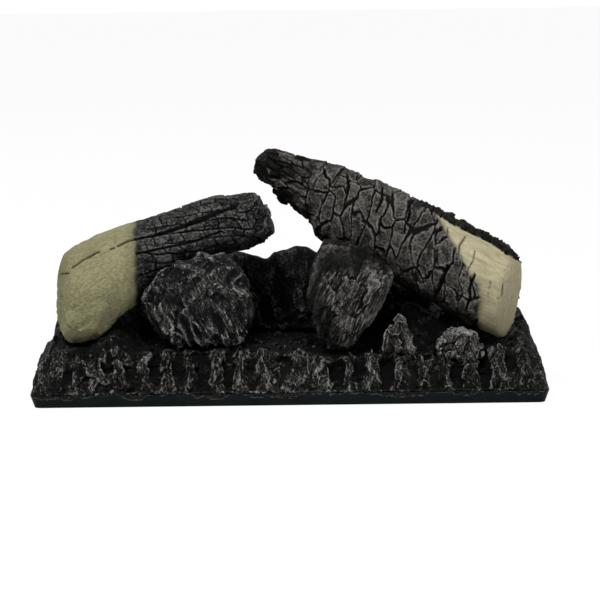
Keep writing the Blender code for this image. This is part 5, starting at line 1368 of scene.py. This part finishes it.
BLACK, BROWN_BLACK = (0.0024, 0.0024, 0.0025), (0.0036, 0.0034, 0.0032)
left_wood = ((0.138, 0.128, 0.066), (0.232, 0.223, 0.128), (0.105, 0.095, 0.055))
right_wood = ((0.232, 0.202, 0.120), (0.372, 0.340, 0.232), (0.150, 0.138, 0.085))
left_finish = char_finish(
    "left_char", (BLACK, (0.075, 0.075, 0.072), (0.170, 0.170, 0.164)), scale=105.0, stretch=(0.7, 1.0, 1.0),
    turn_deg=(0, -17.7, 10.6), cover=0.04, lines=0.35, edges=0.60, relief=0.6, wood=left_wood, speckle=0.92)
right_finish = char_finish(
    "right_char", ((0.0034, 0.0031, 0.0028), (0.098, 0.091, 0.082), (0.230, 0.219, 0.200)), scale=95.0,
    stretch=(0.8, 1.0, 1.0), turn_deg=(0, 25.5, -18.4), cover=0.06, lines=0.40, edges=0.60, relief=0.6,
    wood=right_wood, speckle=0.30)
support_finish = char_finish(
    "support_char", (BLACK, (0.064, 0.063, 0.060), (0.330, 0.330, 0.318)), scale=84.0,
    stretch=(1.0, 1.0, 0.45), turn_deg=(0, -24, 0), lines=0.85, edges=0.75)
splinter_finish = char_finish(
    "splinter_char", (BROWN_BLACK, (0.140, 0.135, 0.125), (0.280, 0.274, 0.258)), scale=95.0,
    stretch=(1.0, 1.0, 0.35), turn_deg=(0, 23, 0), cover=0.03, lines=0.7, edges=0.7)
dark_finish = char_finish(
    "dark_char", ((0.0018, 0.0018, 0.0018), (0.046, 0.046, 0.044), (0.220, 0.220, 0.214)), scale=70.0,
    stretch=(1.0, 1.0, 0.7), cover=-0.01, lines=1.1, edges=0.7)
ember_finish = char_finish(
    "ember_char", (BROWN_BLACK, (0.115, 0.111, 0.102), (0.380, 0.372, 0.350)), scale=150.0,
    stretch=(1.0, 1.0, 0.6), lines=0.8, edges=0.9, relief=0.7)
bed_finish = char_finish(
    "bed_char", ((0.0020, 0.0020, 0.0019), (0.044, 0.043, 0.040), (0.290, 0.284, 0.268)), scale=78.0,
    stretch=(1.0, 1.0, 0.5), cover=-0.025, edges=0.62)

# Finishes of the plain pieces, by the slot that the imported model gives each
SLOT_FINISHES = {
    "tray_plastic": tray_shell_finish(),
    "dowel_wood": plain_finish("peg_wood", (0.40, 0.27, 0.14), (0.56, 0.40, 0.23), 0.62, 300.0, 0.10 * MM),
    "zinc": plain_finish("screw_plate", (0.52, 0.52, 0.50), (0.66, 0.66, 0.64), 0.34, 400.0, 0.03 * MM, 1.0),
    "board_green": plain_finish("board_mask", (0.012, 0.065, 0.028), (0.018, 0.085, 0.038), 0.38, 150.0,
                                0.03 * MM),
    "lead_black": plain_finish("lead_sleeve", (0.010, 0.010, 0.011), (0.018, 0.018, 0.019), 0.48, 120.0,
                               0.04 * MM),
}
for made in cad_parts.values():
    slots = [slot.material.name.split(".")[0] for slot in made.material_slots if slot.material]
    if slots and slots[0] in SLOT_FINISHES:
        made.material_slots[0].material = SLOT_FINISHES[slots[0]]


# Building: the logs and embers, the posts under the seats, the bed and what lies on it

BUILDERS = {
    "left_log": (carve_left_log, left_finish, "left_log"),
    "right_log": (carve_right_log, right_finish, "right_log"),
    "left_support_log": (carve_left_support, support_finish, "bed"),
    "right_support_log": (carve_right_support, splinter_finish, "bed"),
    "rear_log": (carve_rear_log, dark_finish, "bed"),
    "middle_ember": (carve_middle_ember, ember_finish, "bed"),
    "right_ember": (carve_right_ember, ember_finish, "bed"),
}
for node, (carver, finish, body) in BUILDERS.items():
    piece = closed_log(node + "_casting", *carver(), finish)
    if node in SEATS:
        cut_seats(piece, node)
    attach(piece, body)
    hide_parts(node)

for node, finish, slot in (("left_support_log", support_finish, "charred_log"),
                           ("right_support_log", splinter_finish, "charred_log"),
                           ("ember_bed", bed_finish, "black_resin")):
    post = add_posts(node, finish)
    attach(post, "bed")

shell = build_bed(bed_finish)
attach(shell, "bed")
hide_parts("ember_bed")
lumps = add_lumps(shell, bed_finish)
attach(lumps, "bed")


# Studio: floor, pale world, lights and the photograph's camera

AIR_STRENGTH, FLOOR_GLOW = 0.26, 0.94
FLOOR_HALF = 4.0
LAMPS = {"key_lamp": ((-0.55, -1.25, 1.9), 0.55, 44.0), "top_lamp": ((0.35, 0.1, 1.9), 0.9, 9.0),
         "right_lamp": ((1.6, -1.0, 1.0), 0.7, 12.0), "back_lamp": ((-0.6, 1.7, 1.3), 1.2, 12.0)}
LAMP_AIM = Vector((0, 0, 0.08))
CAMERA_AIM = Vector((0.0098, -0.040, 0.0854))
CAMERA_AWAY, CAMERA_DOWN_DEG, CAMERA_ROLL_DEG, SENSOR_MM = 4.5, 8.0, 0.676, 36


def light_paths(tree, *rays):
    """1 on any of some kinds of ray, 0 on the others."""
    paths = tree.nodes.new("ShaderNodeLightPath").outputs
    total = paths[rays[-1]]
    for ray in reversed(rays[:-1]):
        total = maths(tree, "MAXIMUM", paths[ray], total)
    return total


def studio_air(scene):
    """A dim world on the object that the camera, gloss and glass see as white."""
    world = bpy.data.worlds.new("studio_air")
    scene.world = world
    world.use_nodes = True
    tree = world.node_tree
    tree.nodes.clear()
    seen = light_paths(tree, "Is Camera Ray", "Is Glossy Ray", "Is Transmission Ray")
    both = add_node(tree, "ShaderNodeMixShader", {"Fac": seen})
    for socket, strength in ((1, AIR_STRENGTH), (2, 1.0)):
        air = add_node(tree, "ShaderNodeBackground", {"Color": (1, 1, 1, 1), "Strength": strength})
        tree.links.new(air.outputs[0], both.inputs[socket])
    leave = tree.nodes.new("ShaderNodeOutputWorld")
    tree.links.new(both.outputs[0], leave.inputs["Surface"])


def pale_floor():
    """A floor that looks white from the camera and keeps the object's shadow."""
    half = FLOOR_HALF
    mesh = bpy.data.meshes.new("floor")
    mesh.from_pydata([(-half, -half, 0), (half, -half, 0), (half, half, 0), (-half, half, 0)], [],
                     [(0, 1, 2, 3)])
    made, tree, shader, _ = new_finish("pale_floor", 0.9)
    shader.inputs["Base Color"].default_value = (0.86, 0.86, 0.86, 1)
    glow = add_node(tree, "ShaderNodeEmission", {"Color": (1, 1, 1, 1), "Strength": 1.0})
    seen = times(tree, light_paths(tree, "Is Camera Ray"), FLOOR_GLOW)
    both = add_node(tree, "ShaderNodeMixShader", {0: seen, 1: shader.outputs[0], 2: glow.outputs[0]})
    leave = next(node for node in tree.nodes if node.type == "OUTPUT_MATERIAL")
    tree.links.new(both.outputs[0], leave.inputs["Surface"])
    mesh.materials.append(made)
    return add_object("floor", mesh)


def studio():
    scene = bpy.context.scene
    scene.view_settings.view_transform = "Standard"
    studio_air(scene)
    floor = pale_floor()
    for name, (place, size, energy) in LAMPS.items():
        lamp = bpy.data.lights.new(name, "AREA")
        lamp.size, lamp.energy = size, energy
        made = add_object(name, lamp)
        made.location = place
        made.rotation_euler = (LAMP_AIM - Vector(place)).to_track_quat("-Z", "Y").to_euler()

    down = math.radians(CAMERA_DOWN_DEG)
    forward = Vector((0, math.cos(down), -math.sin(down)))
    lens = bpy.data.cameras.new("front_camera")
    lens.lens = CAMERA_AWAY * SENSOR_MM / (PHOTO_PIXELS * PIXEL)
    lens.sensor_width = SENSOR_MM
    lens.clip_end = 40
    camera = add_object("front_camera", lens)
    turned = forward.to_track_quat("-Z", "Y").to_matrix()
    turned = turned @ Matrix.Rotation(math.radians(-CAMERA_ROLL_DEG), 3, "Z")
    camera.matrix_world = Matrix.Translation(CAMERA_AIM - forward * CAMERA_AWAY) @ turned.to_4x4()
    scene.camera = camera


studio()
